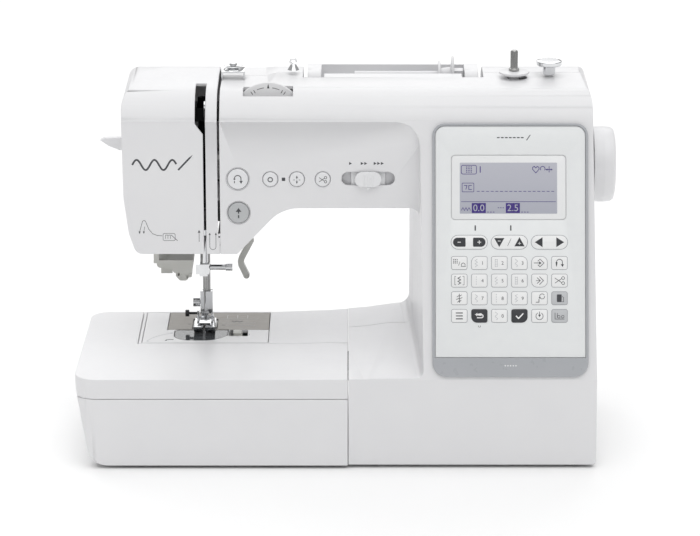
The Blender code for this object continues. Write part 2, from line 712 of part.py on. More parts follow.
def make_handle():
    """A bail whose bar lies along the back of the deck and swings up about two pivots."""
    y, z = HANDLE_AXIS
    x0, x1 = HANDLE_X
    side = [
        (y - HANDLE_END_R, z - HANDLE_END_R, HANDLE_END_R - 0.1), (60.0, POCKET_Z + 0.8, 6.0),
        (82.0, POCKET_Z + 0.8, 1.0), (82.0, 267.0, 2.0), (72.0, 276.8, 8.0), (54.0, 281.4, 12.0),
        (y - HANDLE_END_R, z + HANDLE_END_R, HANDLE_END_R - 0.1),
    ]
    handle = part("carry_handle", prism(rounded(side), "X", x0, x1), "white_shell", ((x0 + x1) / 2, y, z))
    inner_x = (x0 + HANDLE_ARM_W, x1 - HANDLE_ARM_W)
    cut(handle, box(inner_x, (0, HANDLE_BAR_Y), (250, 300)))
    for low, high in ((x0 - 2.5, x0 + 2), (x1 - 2, x1 + 2.5)):
        unite(handle, rod("X", (y, z), 3.0, low, high, SMALL_ROUND))


# ---------------------------------------------------------------- control panel

def make_panel():
    frame = slope_frame()
    height = (PANEL_Z[1] - PANEL_Z[0]) / math.cos(math.atan(SLOPE))
    half_w, half_h = PANEL_W / 2, height / 2
    outline = [
        (-half_w, -half_h, 11.0), (half_w, -half_h, 11.0), (half_w, half_h, 9.0),
        (-half_w, half_h, 9.0),
    ]
    inside = corner_offsets(outline, -BEZEL_RIM)
    face = [(x, max(y, -half_h + BAND_H), r if y > 0 else 0.0) for x, y, r in inside]
    bezel = part("panel_bezel", prism(rounded(outline), "Z", 0.3, 0.3 + BEZEL_T, frame), "panel_grey")
    cut(bezel, prism(rounded(face), "Z", -5, 5, frame))

    sheet_outline = rounded(corner_offsets(face, -0.3))
    sheet = part("key_panel", prism(sheet_outline, "Z", 0.3, 0.3 + OVERLAY_T, frame), "overlay")
    left, right, low, high = WINDOW
    cut(sheet, prism(rounded(rectangle(left, right, low, high, 3.0), 3), "Z", -5, 5, frame))
    top = 0.3 + OVERLAY_T
    for x, y, width, key_height in key_places():
        w, h = width / 2, key_height / 2
        pad = rounded(rectangle(x - w, x + w, y - h, y + h, 2.0), 1)
        unite(sheet, prism(pad, "Z", top - 0.6, top + KEY_RISE, frame))

    glass = rectangle(left + 0.3, right - 0.3, low + 0.3, high - 0.3, 2.7)
    part("display_window", prism(rounded(glass, 3), "Z", 0.3, 0.3 + WINDOW_T, frame), "window")
    board = part("display_board", box((-50, 50), (-60, 80), (-11.0, -9.4), frame), "board_green")
    unite(board, box((left + 4, right - 4), (low + 4, high - 4), (-10, -0.2), frame))


def key_places():
    """Middle and size of each key in the panel's frame: three double keys over a grid."""
    places = [(KEYS_X + (i - 1) * PILL_PITCH, PILL_Y, PILL_W, PILL_H) for i in range(3)]
    for row in range(KEY_ROWS):
        for column in range(KEY_COLUMNS):
            x = KEYS_X + (column - (KEY_COLUMNS - 1) / 2) * KEY_PITCH_X
            places.append((x, KEY_TOP_Y - row * KEY_PITCH_Y, KEY_W, KEY_H))
    return places


# ---------------------------------------------------------------- arm controls

def dial_frame():
    """The tension dial's own frame, with its face leaning back and Z out of the face."""
    down = Vector((0, -math.sin(DIAL_LEAN), -math.cos(DIAL_LEAN)))
    middle = Vector((DIAL_X, *DIAL_RIM)) + down * DIAL_R
    return Matrix.Translation(middle * MM) @ Matrix.Rotation(math.pi / 2 - DIAL_LEAN, 4, "X")


def make_arm_controls():
    inner = ARM_FACE_Y + WALL
    for name, (x, z, radius) in BUTTONS.items():
        face = ARM_FACE_Y - BUTTON_RISE
        profile = [
            (0, inner + 4), (radius - 1, inner + 4), (radius - 1, inner + 2), (radius + 1.5, inner + 2),
            (radius + 1.5, inner + 0.4), (radius, inner + 0.4), (radius, face + 0.8),
            (radius - 0.8, face), (0, face),
        ]
        finish = "light_grey" if name == "start_stop_button" else "white_shell"
        part(name, turned("Y", (x, z), profile), finish)

    width, height = SLIDER_KNOB
    cap = prism(stadium(SLIDER_X, SLIDER_Z, width, height), "Y", ARM_FACE_Y - 3.6, ARM_FACE_Y - GAP)
    knob = part("speed_slider", cap, "white_shell")
    neck = box((SLIDER_X - 6, SLIDER_X + 6), (ARM_FACE_Y - 1.5, inner + 1), (SLIDER_Z - 4, SLIDER_Z + 4))
    rail = box((SLIDER_X - 13, SLIDER_X + 13), (inner + 0.4, inner + 2), (SLIDER_Z - 8, SLIDER_Z + 8))
    pointer = prism(
        [(SLIDER_X - 2.5, SLIDER_Z - 4), (SLIDER_X, SLIDER_Z - 9), (SLIDER_X + 2.5, SLIDER_Z - 4)],
        "Y", ARM_FACE_Y - 3.0, ARM_FACE_Y - GAP - 0.1,
    )
    unite(knob, neck, rail, pointer)

    edge = 0.7
    dial = [
        (0, 0), (DIAL_R - edge, 0), (DIAL_R, -edge), (DIAL_R, edge - DIAL_T),
        (DIAL_R - edge, -DIAL_T), (0, -DIAL_T),
    ]
    part("tension_dial", turned("Z", (0, 0), dial, 36, frame=dial_frame()), "white_shell")


# ---------------------------------------------------------------- top deck

def make_top_fittings():
    deck = 276.6
    plate = [
        (-9, 0), (-9, 5.6), (-6, 5.6), (6, 5.6), (9, 5.6), (9, 0), (7.8, 0), (7.8, 4.4), (-7.8, 4.4),
        (-7.8, 0),
    ]
    outline = [(-88.0 + x, deck + 0.4 + z) for x, z in plate]
    guide = part("pretension_guide", prism(outline, "Y", 22, 38), "chrome")
    disc = turned("Z", (-88.0, 30.0), [
        (0, deck + 11), (2.6, deck + 11), (3.2, deck + 9.6), (2.2, deck + 9.0), (2.2, deck + 8.6),
        (6.5, deck + 9.2),
        (7.2, deck + 8.8), (4.5, deck + 7.6), (4.5, deck + 7.0), (7.6, deck + 6.2), (7.6, deck + 5.2),
        (0, deck + 5.2),
    ], 20)
    unite(guide, disc)

    x, y, base = -42.0, 34.0, 281.4
    post = part("thread_guide", rod("Z", (x, y), 4.6, base, base + 4.5, 16, 2.0), "chrome")
    path = [
        (x, base + 3.6), (x - 2.6, base + 6.0), (x - 1.5, base + 8.4), (x + 1.5, base + 8.4),
        (x + 2.6, base + 6.0),
    ]
    unite(post, prism(strip_outline(path, 1.1), "Y", y - 0.7, y + 0.7))

    support = box((PIN_X[1] - 3, PIN_X[1] + 4), (PIN_Y - 5, PIN_Y + 5), (POCKET_Z + 0.4, PIN_Z + 4))
    pin = part("spool_pin", rod("X", (PIN_Y, PIN_Z), PIN_R, PIN_X[0], PIN_X[1], 16), "white_shell")
    unite(pin, support)
    x0, x1 = CAP_X
    bore = PIN_R + 0.3
    ring = [
        (bore, x0), (bore, x1 - 0.8), (CAP_R - 1, x1 - 0.8), (CAP_R, x1 - 1.4), (CAP_R, x1 - 2.2),
        (6.0, x1 - 3.4),
    ]
    ring += [(4.8, x0 + 2.4), (10.5, x0 + 1.8), (10.5, x0)]
    part("spool_cap", turned("X", (PIN_Y, PIN_Z), ring, closed=True), "white_shell")

    seat = turned("Z", (WINDER_X, WINDER_Y), [
        (0, 283.0), (8.0, 283.0), (WINDER_R, 282.4), (WINDER_R, 281.0), (8.5, 279.6), (4.0, 279.0),
        (4.0, 272.0), (6.5, 271.5), (6.5, 268.0), (0, 268.0),
    ])
    part("winder_seat", seat, "white_shell")
    spindle = [
        (0, TOP_Z), (2.2, TOP_Z), (2.9, TOP_Z - 1.2), (2.9, 285.2), (4.0, 284.8), (4.0, 283.4),
        (0, 283.4),
    ]
    part("winder_spindle", turned("Z", (WINDER_X, WINDER_Y), spindle, 16), "steel")

    stop = [
        (0, 290.6), (7.0, 290.6), (9.8, 289.8), (9.8, 287.0), (9.0, 286.4), (5.0, 286.0),
        (4.6, 279.2), (0, 279.2),
    ]
    part("winder_stop", turned("Z", (STOP_X, STOP_Y), stop), "chrome")


# ---------------------------------------------------------------- stitching mechanism

def make_needle_group():
    x, y = NEEDLE_X, NEEDLE_Y
    bar = part("needle_bar", rod("Z", (x, y), NEEDLE_BAR_R, 117, 258, 16), "chrome")
    clamp = box((x - 6.2, x + 4.2), (y - 5, y + 3.1), (116.4, 124.4))
    unite(bar, clamp, box((x - 3.4, x + 3.0), (y - 4.6, y + 2.9), (114.6, 117.0)))
    cut(bar, rod("Z", (x, y - 1.0), 1.35, 110, 124))
    cut(bar, rod("X", CLAMP_SCREW, 1.5, x + 1.5, x + 10))
    screw = part("needle_clamp_screw", rod("X", CLAMP_SCREW, 1.2, x + 1.7, x + 6.5, 12), "chrome")
    unite(screw, rod("X", CLAMP_SCREW, 2.2, x + 4.6, x + 20.0, 16))
    unite(screw, rod("X", CLAMP_SCREW, 2.9, x + 17.0, x + 22.4, 16))
    needle = turned("Z", (x, y - 1.0), [
        (0, 123.5), (1.0, 123.5), (1.0, 104.0), (0.45, 102.0), (0.45, 90.0), (0.12, 86.5), (0, 86.5),
    ], 10)
    part("needle", needle, "steel")


def make_presser_group():
    x, y = PRESSER_X, PRESSER_Y
    part("presser_bar", rod("Z", (x, y), PRESSER_BAR_R, 92.0, 250, 16), "steel")
    holder = part("foot_holder", box((x - 5.0, x + 4.6), (y - 4.6, y + 4.6), (80.5, 99)), "chrome")
    cut(holder, rod("Z", (x, y), PRESSER_BAR_R + 0.35, 91.4, 105, 16))
    cut(holder, box((x - 2.5, x + 10), (y - 0.8, y + 0.8), (86.5, 105)))
    cut(holder, rod("X", (y, 89.0), 1.9, x - 10, x - 1))
    unite(holder, box((NEEDLE_X - 3.0, NEEDLE_X + 3.0), (FOOT_PIN[0] - 2.2, y - 3), (76.2, 82)))
    cut(holder, rod("X", FOOT_PIN, 1.5, NEEDLE_X - 10, NEEDLE_X + 10))
    screw = part("foot_screw", rod("X", (y, 89.0), 1.5, x - 7, x - 1.6, 12), "chrome")
    unite(screw, rod("X", (y, 89.0), 3.7, x - 10.8, x - 5.4, 16))

    low = BED_Z + FOOT_GAP
    sole = [
        (24.0, low + 5.0), (25.2, low + 2.6), (28.5, low), (57.0, low), (58.0, low + 0.9), (58.0, low + 2.1),
        (29.5, low + 2.1), (25.6, low + 5.2),
    ]
    x0, x1 = NEEDLE_X - 8.0, NEEDLE_X + 8.6
    foot = part("presser_foot", prism(sole, "X", x0, x1), "chrome", (NEEDLE_X, *FOOT_PIN))
    for cheek, top in ((x0 + 2.0, 83.4), (x1 - 3.6, 80.0)):
        side = [(42.0, low + 1.5), (54.5, low + 1.5), (51.4, top), (45.8, top), (45.8, low + 3.2)]
        unite(foot, prism(side, "X", cheek, cheek + 1.6))
    unite(foot, rod("X", FOOT_PIN, 1.1, x0 + 1.0, x1 - 1.2, 10))
    cut(foot, rod("X", LEVEL_PIN, 1.4, x0 + 1.0, x0 + 4.5, 12))
    pin = part("foot_level_button", rod("X", LEVEL_PIN, 1.0, x0 - 5.0, NEEDLE_X - 5.0, 12), "black")
    unite(pin, rod("X", LEVEL_PIN, 2.7, x0 - 7.4, x0 - 4.4, 16))
    cut(foot, box((NEEDLE_X - 4.2, NEEDLE_X + 4.2), (NEEDLE_Y - 3.0, NEEDLE_Y + 1.8), (60, 77)))
    cut(foot, box((NEEDLE_X - 1.0, NEEDLE_X + 1.0), (20, NEEDLE_Y - 2), (60, 80)))

    path = [(-92.0, 168.0), (-76.8, 136.0), (-84.0, 122.0), (-84.9, 119.0), (-84.5, 116.2), (-80.5, 107.4)]
    lever_y = (y + 10.0, y + 16.0)
    pivot_x, pivot_z = path[0]
    pivot = (pivot_x, lever_y[0], pivot_z)
    lever = part("presser_lever", prism(strip_outline(path, LEVER_W), "Y", *lever_y), "light_grey", pivot)
    unite(lever, rod("Y", (pivot_x, pivot_z), 5.5, lever_y[0] + 0.2, lever_y[1] - 0.2, 16))
    unite(lever, rod("Y", path[-1], LEVER_W / 2 + 0.2, lever_y[0] + 0.1, lever_y[1] - 0.1, 16))


def make_take_up_lever():
    """A flat lever beside the needle bar, seen through the window in the face cover."""
    y, z = TAKE_UP_AXIS
    tip = Vector((y, z)) + Vector((-math.cos(TAKE_UP_REST), math.sin(TAKE_UP_REST))) * TAKE_UP_R
    lean = TAKE_UP_REST - 0.16
    bend = Vector((y, z)) + Vector((-math.cos(lean), math.sin(lean))) * (TAKE_UP_R * 0.6)
    outline = strip_outline([(y, z), bend, tip], 4.4)
    pivot = (TAKE_UP_X[0], y, z)
    lever = part("take_up_lever", prism(outline, "X", *TAKE_UP_X), "chrome", pivot)
    unite(lever, rod("X", tuple(tip), 3.6, TAKE_UP_X[0] + 0.1, TAKE_UP_X[1] - 0.1, 14))
    unite(lever, rod("X", (y, z), 4.2, TAKE_UP_X[0] + 0.2, TAKE_UP_X[1] + 3.5, 14))
    cut(lever, rod("X", tuple(tip), 1.3, TAKE_UP_X[0] - 2, TAKE_UP_X[1] + 2, 10))


def make_threader():
    """A lever at the head's left side carries a hook down to the needle's eye."""
    y = THREADER_Y
    grip = [
        (-190.5, 229.6), (-187.0, 231.4), (-158.0, 231.8), (-158.0, 221.6), (-176.0, 222.0),
        (-184.0, 225.2),
    ]
    lever = part("threader_lever", prism(grip, "Y", y - 3.0, y + 3.0), "white_shell")
    unite(lever, box((-162.0, -156.4), (y - 2.5, y + 2.5), (204.0, 230.5)))
    body = rounded([
        (-148.8, 126.4, 3.0), (-137.6, 126.4, 2.0), (-135.4, 122.2, 1.0), (-121.4, 122.2, 2.0),
        (-120.2, 131.5, 0.0),
        (-148.8, 131.5, 0.0),
    ], 4)
    head = part("threader_head", prism(body, "Y", y + 1.0, y + 21), "light_grey")
    unite(head, box((-151.0, -120.5), (y - 2.0, y + 22), (131.0, 133.4)))
    unite(head, box((-150.9, -146.8), (y - 1.9, y + 4), (133.0, 230.0)))
    unite(head, box((-155.4, -147.0), (y - 1.8, y + 3.8), (206.0, 229.9)))
    hook = rounded([
        (-134.4, 118.4, 1.0), (-131.2, 114.6, 1.5), (-126.0, 114.6, 1.5), (-124.0, 117.2, 0.8),
        (-121.9, 117.2, 1.0),
        (-121.6, 124.0, 0.0), (-134.4, 124.0, 0.0),
    ], 3)
    unite(head, prism(hook, "Y", y + 6, y + 16))
    cut(head, box((-132.9, -131.3), (y - 5, y + 9), (118.6, 121.4)))
    cut(head, box((-126.0, -124.4), (y - 5, y + 8), (116.2, 118.8)))


def make_buttonhole_lever():
    lever = part("buttonhole_lever", box((-147.2, -138.2), (50.0, 54.0), (113.4, 121.0)), "light_grey")
    unite(lever, box((-145.5, -139.8), (50.2, 53.8), (118.0, 200.0)))


def make_feed():
    dog = part("feed_dog", box((-123.5, -102.5), (47.0, FEED_END_Y), (55.0, 62.0)), "steel")
    unite(dog, box((-124.0, -84.0), (46.5, 64.0), (51.0, 55.6)))
    unite(dog, box((-98.0, -84.2), (46.7, 63.8), (44.0, 52.0)))
    for offset, y_low in FEED_ROWS:
        x = NEEDLE_X + offset
        unite(dog, prism(toothed_row(y_low), "X", x - 0.9, x + 0.9))


def toothed_row(y_low):
    """Side view of one feed dog row, with saw teeth along its top."""
    pitch, depth, top = 1.9, 0.9, BED_Z - 0.1
    count = int((FEED_END_Y - y_low) / pitch)
    points = [(FEED_END_Y - 0.1, 60.0), (FEED_END_Y - 0.1, top - depth)]
    for k in range(count):
        y = FEED_END_Y - 0.1 - k * pitch
        points += [(y - 0.5, top), (y - pitch, top - depth)]
    root = max(y_low, 47.3)
    return points + [(points[-1][0], 64.5), (root, 64.5), (root, 60.0)]


def make_hook():
    x, y = NEEDLE_X, HOOK_Y
    race = turned("Z", (x, y), [
        (0, 52.0), (CASE_R + RACE_PLAY, 52.0), (CASE_R + RACE_PLAY, 63.5), (HOOK_R, 63.5), (HOOK_R, 52.5),
        (HOOK_R - 4.4, 49.0), (5.0, 48.0), (5.0, 45.0),
        (6.6, 45.0), (5.4, 42.6), (0, 42.6),
    ], 24)
    part("hook_race", race, "steel")
    case = turned("Z", (x, y), [
        (0, 54.2), (CASE_R - CASE_WALL, 54.2), (CASE_R - CASE_WALL, 66.5), (CASE_R, 66.5), (CASE_R, 54.0),
        (CASE_R - 1.4, 52.6), (0, 52.6),
    ], 24)
    part("bobbin_case", case, "black")
    low = 54.7
    high = low + BOBBIN_H
    spool = turned("Z", (x, y), [
        (3.1, high), (BOBBIN_R, high), (BOBBIN_R, high - 1), (4.3, high - 1.6), (4.3, low + 1.6),
        (BOBBIN_R, low + 1),
        (BOBBIN_R, low), (3.1, low),
    ], 24, closed=True)
    part("bobbin", spool, "clear")


# ---------------------------------------------------------------- drive

def make_drive():
    y, z = SHAFT_Y, SHAFT_Z
    shaft = part("upper_shaft", rod("X", (y, z), SHAFT_R, -98.0, WHEEL_X[0] - 0.4, 16), "steel")
    unite(shaft, rod("X", (y, z), 14.0, -103.0, -97.0, ROUND))
    unite(shaft, rod("X", (y, z), PULLEY_R, PULLEY_X, PULLEY_X + PULLEY_W, ROUND))
    unite(shaft, rod("X", (y, z), 22.0, PULLEY_X + 11, PULLEY_X + 16, ROUND))

    x0, x1 = WHEEL_X
    wheel = turned("X", (y, z), [
        (0, x1 - 3.5), (17.0, x1 - 3.5), (20.0, x1 - 0.8), (24.0, x1), (WHEEL_R - 2.0, x1 - 1.0),
        (WHEEL_R - 0.4, x1 - 3.6),
        (WHEEL_R, x1 - 9), (WHEEL_R - 0.3, x0), (WHEEL_R - 3.0, x0), (WHEEL_R - 3.4, x0 + 9.0),
        (9.0, x0 + 10.0),
        (9.0, x0), (0, x0),
    ], 40)
    part("handwheel", wheel, "white_shell")

    lower = part("lower_shaft", rod("X", (LOWER_Y, LOWER_Z), SHAFT_R, -100.0, PULLEY_X + PULLEY_W, 16), "steel")
    unite(lower, rod("X", (LOWER_Y, LOWER_Z), 6.0, -105.0, -99.0, ROUND, 9.0))
    unite(lower, rod("X", (LOWER_Y, LOWER_Z), PULLEY_R, PULLEY_X + 0.2, PULLEY_X + PULLEY_W - 0.2, ROUND))

    belt = part("timing_belt", prism(belt_outline(PULLEY_R + 2.2), "X", PULLEY_X + 1, PULLEY_X + 7), "black")
    cut(belt, prism(belt_outline(PULLEY_R + 0.6), "X", PULLEY_X - 5, PULLEY_X + 15))

    motor = part("drive_motor", rod("X", (60.0, 62.0), 19.0, 78.0, 138.0, ROUND), "steel")
    unite(motor, rod("X", (60.0, 62.0), 6.0, 70.0, 144.0, 16))
    unite(motor, rod("X", (60.0, 62.0), 2.5, 60.0, 177.2, 12))
    unite(motor, rod("X", (60.0, 62.0), 6.5, PULLEY_X + 10.6, PULLEY_X + 16.4, 16))


def belt_outline(radius, steps=10):
    """A loop of even radius round the upper and the lower pulley, in side view."""
    upper, lower = Vector((SHAFT_Y, SHAFT_Z)), Vector((LOWER_Y, LOWER_Z))
    lean = math.atan2(upper.y - lower.y, upper.x - lower.x)
    points = []
    for centre, start in ((upper, lean - math.pi / 2), (lower, lean + math.pi / 2)):
        for k in range(steps + 1):
            angle = start + math.pi * k / steps
            points.append(centre + Vector((math.cos(angle), math.sin(angle))) * radius)
    return points


def make_frame():
    """The casting that carries the shafts, the bars and the covers."""
    frame = part("machine_frame", box((-94, 156), (30, 56), (224, 234)), "cast")
    post = box((146, 155.8), (30.2, 76), (16, 233.8))
    low_post = box((146.2, 155.6), (8, 40), (16.2, 56))
    beam = box((-150, 150), (42, 76.2), (27.5, 40.5))
    head_plate = box((-93.8, -86), (30.4, 60), (158, 250))
    guide_low = box((-120, -88), (36, 60.2), (160, 170))
    guide_high = box((-120.2, -88.2), (36.2, 60.4), (240, 250.2))
    lower_bearing = box((-92, -84), (12, 43.5), (27.7, 47))
    for piece in (post, low_post, beam, head_plate, guide_low, guide_high, lower_bearing):
        unite(frame, piece)
    cut(frame, rod("X", (SHAFT_Y, SHAFT_Z), SHAFT_R + RUNNING, -120, 159, 16))
    cut(frame, rod("X", (LOWER_Y, LOWER_Z), SHAFT_R + RUNNING, -95, 159, 16))
    cut(frame, rod("Z", (NEEDLE_X, NEEDLE_Y), NEEDLE_BAR_R + RUNNING, 150, 262, 16))
    cut(frame, rod("Z", (PRESSER_X, PRESSER_Y), PRESSER_BAR_R + RUNNING, 150, 262, 16))
    cut(frame, rod("X", (60.0, 62.0), 7.5, 140, 160, 16))


# ---------------------------------------------------------------- sockets and rear lever

def make_side_fittings():
    side = RIGHT_X - 1.0
    width, height = SWITCH_SIZE
    rocker = [(side - 9, SWITCH_Z - height / 2), (side + 0.4, SWITCH_Z - height / 2), (side - 0.8, SWITCH_Z),
              (side + 1.6, SWITCH_Z + height / 2), (side - 9, SWITCH_Z + height / 2)]
    pivot = (side - 1.0, SWITCH_Y, SWITCH_Z)
    part("power_switch", prism(rocker, "Y", SWITCH_Y - width / 2, SWITCH_Y + width / 2), "light_grey", pivot)
    width, height = INLET_SIZE
    across, upright = (INLET_Y - width / 2, INLET_Y + width / 2), (INLET_Z - height / 2, INLET_Z + height / 2)
    block = box((side - 22, side - 0.6), across, upright)
    inlet = part("power_inlet", block, "black")
    cut(inlet, prism(stadium(INLET_Y, INLET_Z + 5, 18.0, 9.0), "X", side - 15, side + 5))
    cut(inlet, rod("X", (INLET_Y, INLET_Z - 7.5), 3.2, side - 15, side + 5))
    knob = part("drop_feed_lever", box((20.0, 29.0), (BACK_Y - 3.5, BACK_Y + 2.6), (43.0, 48.0)), "light_grey")
    unite(knob, box((16.0, 33.0), (BACK_Y - 5.0, BACK_Y - WALL - 0.4), (40.0, 51.0)))


FEED_END_Y = 62.0
FEED_ROWS = ((-8.4, 42.0), (-4.4, 48.0), (4.4, 48.0), (8.4, 42.0))   # x from the needle, front end
THREADER_Y = 20.0
TAKE_UP_AXIS = (40.0, 228.0)
TAKE_UP_R = 60.0
TAKE_UP_REST = math.radians(36.0)
TAKE_UP_X = (-109.4, -107.9)

clear_scene()
parts = make_collection("sewing_machine")
cutters = make_collection("cutters")
make_covers()
make_face_cover()
make_base()
make_free_arm()
make_tray()
make_handle()
make_panel()
make_arm_controls()
make_top_fittings()
make_needle_group()
make_presser_group()
make_take_up_lever()
make_threader()
make_buttonhole_lever()
make_feed()
make_hook()
make_drive()
make_frame()
make_side_fittings()
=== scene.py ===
"""Finishes a packed sewing machine: moulded shells, printed keys, screen, plated fittings and a studio."""

import json
import math

import bmesh
import bpy
from mathutils import Matrix, Vector


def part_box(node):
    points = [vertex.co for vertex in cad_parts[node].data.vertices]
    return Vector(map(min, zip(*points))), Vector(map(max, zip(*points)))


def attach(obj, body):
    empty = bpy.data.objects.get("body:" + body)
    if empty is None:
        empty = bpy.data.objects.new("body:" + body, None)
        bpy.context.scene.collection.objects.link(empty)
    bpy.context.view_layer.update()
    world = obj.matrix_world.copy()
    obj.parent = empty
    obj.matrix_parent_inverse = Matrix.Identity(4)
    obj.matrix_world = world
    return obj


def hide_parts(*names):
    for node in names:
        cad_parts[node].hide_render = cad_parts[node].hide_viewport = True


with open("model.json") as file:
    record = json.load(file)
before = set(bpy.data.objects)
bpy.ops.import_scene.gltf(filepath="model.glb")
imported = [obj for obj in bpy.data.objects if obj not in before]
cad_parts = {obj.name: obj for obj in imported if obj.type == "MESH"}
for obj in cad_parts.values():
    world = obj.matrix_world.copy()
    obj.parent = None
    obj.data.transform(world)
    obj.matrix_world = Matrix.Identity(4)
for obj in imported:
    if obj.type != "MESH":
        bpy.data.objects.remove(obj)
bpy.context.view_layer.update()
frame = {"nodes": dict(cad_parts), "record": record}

bl_info = {
    "name": "Sewing machine finish",
    "version": (1, 0, 0),
    "blender": (4, 5, 0),
    "location": "3D View > Sidebar > Sewing machine",
    "description": "Dresses the machine's pieces and sets up the studio",
    "category": "Object",
}

MM = 0.001
RECORD = frame["record"]
BODIES = RECORD["behaviour"]["bodies"]
BODY_OF = {node: body for body, nodes in BODIES.items() for node in nodes}
SLOT_OF = {row["node"]: row["material_slot"] for row in RECORD["subparts"]}

# The control panel lies on the column's front, which leans back by SLOPE mm for each mm of height.
SLOPE = 0.3243
PANEL_W, PANEL_H = 117.0, 190.6
BAND_H = 14.4
RIM_W, SHEET_GAP = 2.2, 0.3           # width of the panel's rim, and the gap round the key sheet
SHEET_LOW, SHEET_TOP = 0.35, 1.6      # heights of the key sheet's faces above the column's front
WINDOW_TOP = 1.0                      # height of the window's face
WINDOW = (-44.2, 41.7, 23.0, 71.3)    # left, right, bottom and top of the screen's window
LCD = (-38.0, 35.2, 27.4, 65.8)
KEY_W, KEY_H, KEY_PITCH_X, KEY_PITCH_Y = 12.2, 10.2, 15.05, 13.25
PILL_W, PILL_H, PILL_PITCH = 27.8, 10.9, 30.1
PILL_Y, KEY_TOP_Y, KEYS_X = 5.9, -9.7, -0.8
ARM_FACE_Y = -28.0                    # the arm's flat front
SEAM_X, SEAM_GAP = -97.0, 1.9         # right edge and width of the second thread slot
HEAD_Z = 151.8                        # underside of the head
BED_Z = 71.0                          # top of the bed
SCREEN_Z = (188.0, 228.0)             # heights between which the display's tone deepens
KEY_LINE_W = 0.35                     # width of the printed line round a key
SLIDER_TRACK = (46.0, 14.0, 6.0)      # width, height and corner of the floor behind the speed slider
SLOT_END = (152.4, 167.6)             # bottom and top of the piece that closes the second thread slot
CAMERA_PLACE, CAMERA_TILT, LENS_MM = (0.0015, -2.440, 0.8553), 16.5, 169.7
SKY_STRENGTH = 0.44
SOFT_EDGES = {                        # rounding in mm of the pieces with the softest edges
    "panel_bezel": 0.6, "speed_slider": 0.45, "winder_stop": 0.4, "presser_lever": 0.35,
    "threader_head": 0.35, "drop_feed_lever": 0.35, "threader_lever": 0.5,
}
MERGE_WITHIN = 0.002 * MM             # corners of a CAD mesh closer than this are one corner
CROWDED = 1.2                         # an edge shorter than this many roundings is too short to end one
SMOOTH_BELOW = math.radians(30)       # faces that meet at less than this are shaded as one
ROUND_ABOVE = math.radians(32)        # edges sharper than this are rounded
FLAT_WITHIN = math.radians(0.05)      # faces that meet at less than this are one flat face
SUNS = {                              # where each soft source stands, its strength and how wide it looks
    "overhead_diffuser": ((0.15, -0.55, 2.0), 1.6, 75.0),
    "rear_diffuser": ((-0.25, 1.5, 1.3), 0.9, 60.0),
}


# ---------------------------------------------------------------- colours and sizes a user may change

def colour(name, hex_text, about):
    return bpy.props.StringProperty(name=name, default=hex_text, description=about)


class MachineColours(bpy.types.PropertyGroup):
    shell: colour("Shell", "E8E8E9", "Moulded housing, as an sRGB hex value")
    shell_shade: colour("Shell shade", "E3E3E5", "The faint second tone of the housing")
    key_grey: colour("Grey keys", "BFC1C2", "Start button and the two grey keys")
    key_dark: colour("Dark keys", "3C3D40", "Dark keys and the arrows of the double keys")
    ink: colour("Ink", "4A4B4F", "Printed symbols")
    key_line: colour("Key outline", "8C8E93", "Printed line round each key")
    rim: colour("Panel rim", "B4B6BA", "Silver rim and band of the control panel")
    screen: colour("Screen", "BFC0C9", "Display background")
    screen_ink: colour("Screen ink", "4B3A86", "Lit marks on the display")
    sheet: colour("Key sheet", "ECEEEE", "Membrane that carries the keys")
    mechanism_grey: colour("Mechanism grey", "CFCFCA", "Threader and the levers by the needle")


class MachineSizes(bpy.types.PropertyGroup):
    edge: bpy.props.FloatProperty(
        name="Edge", default=0.5 * MM, min=0.0, unit="LENGTH", description="Rounding of the shells' edges"
    )
    small_edge: bpy.props.FloatProperty(
        name="Small edge", default=0.22 * MM, min=0.0, unit="LENGTH",
        description="Rounding of small metal pieces",
    )
    print_height: bpy.props.FloatProperty(
        name="Print", default=0.06 * MM, min=0.0, unit="LENGTH", description="Height of printed marks"
    )
    key_rise: bpy.props.FloatProperty(
        name="Key rise", default=0.45 * MM, min=0.0, unit="LENGTH",
        description="How far keys stand out of the sheet",
    )


def colours():
    return bpy.context.scene.machine_colours


def sizes():
    return bpy.context.scene.machine_sizes


# ---------------------------------------------------------------- materials

def linear(hex_text):
    """An sRGB hex value as linear red, green, blue and alpha."""
    values = [int(hex_text[i:i + 2], 16) / 255 for i in (0, 2, 4)]
    return [*[v / 12.92 if v <= 0.04045 else ((v + 0.055) / 1.055) ** 2.4 for v in values], 1.0]


def add_node(tree, kind, inputs=None, **settings):
    """Adds a node. inputs maps a socket's name or number to a value or to another node's output."""
    node = tree.nodes.new(kind)
    for key, value in settings.items():
        setattr(node, key, value)
    for key, value in (inputs or {}).items():
        if isinstance(value, bpy.types.NodeSocket):
            tree.links.new(value, node.inputs[key])
        else:
            node.inputs[key].default_value = value
    return node


def begin(name, inputs=None):
    """A new material. Gives it with its tree, its shader and the object's own coordinates."""
    made = bpy.data.materials.new(name)
    made.use_nodes = True
    tree = made.node_tree
    tree.nodes.clear()
    shader = add_node(tree, "ShaderNodeBsdfPrincipled", inputs)
    add_node(tree, "ShaderNodeOutputMaterial", {"Surface": shader.outputs["BSDF"]})
    place = add_node(tree, "ShaderNodeTexCoord").outputs["Object"]
    return made, (tree, shader, place)


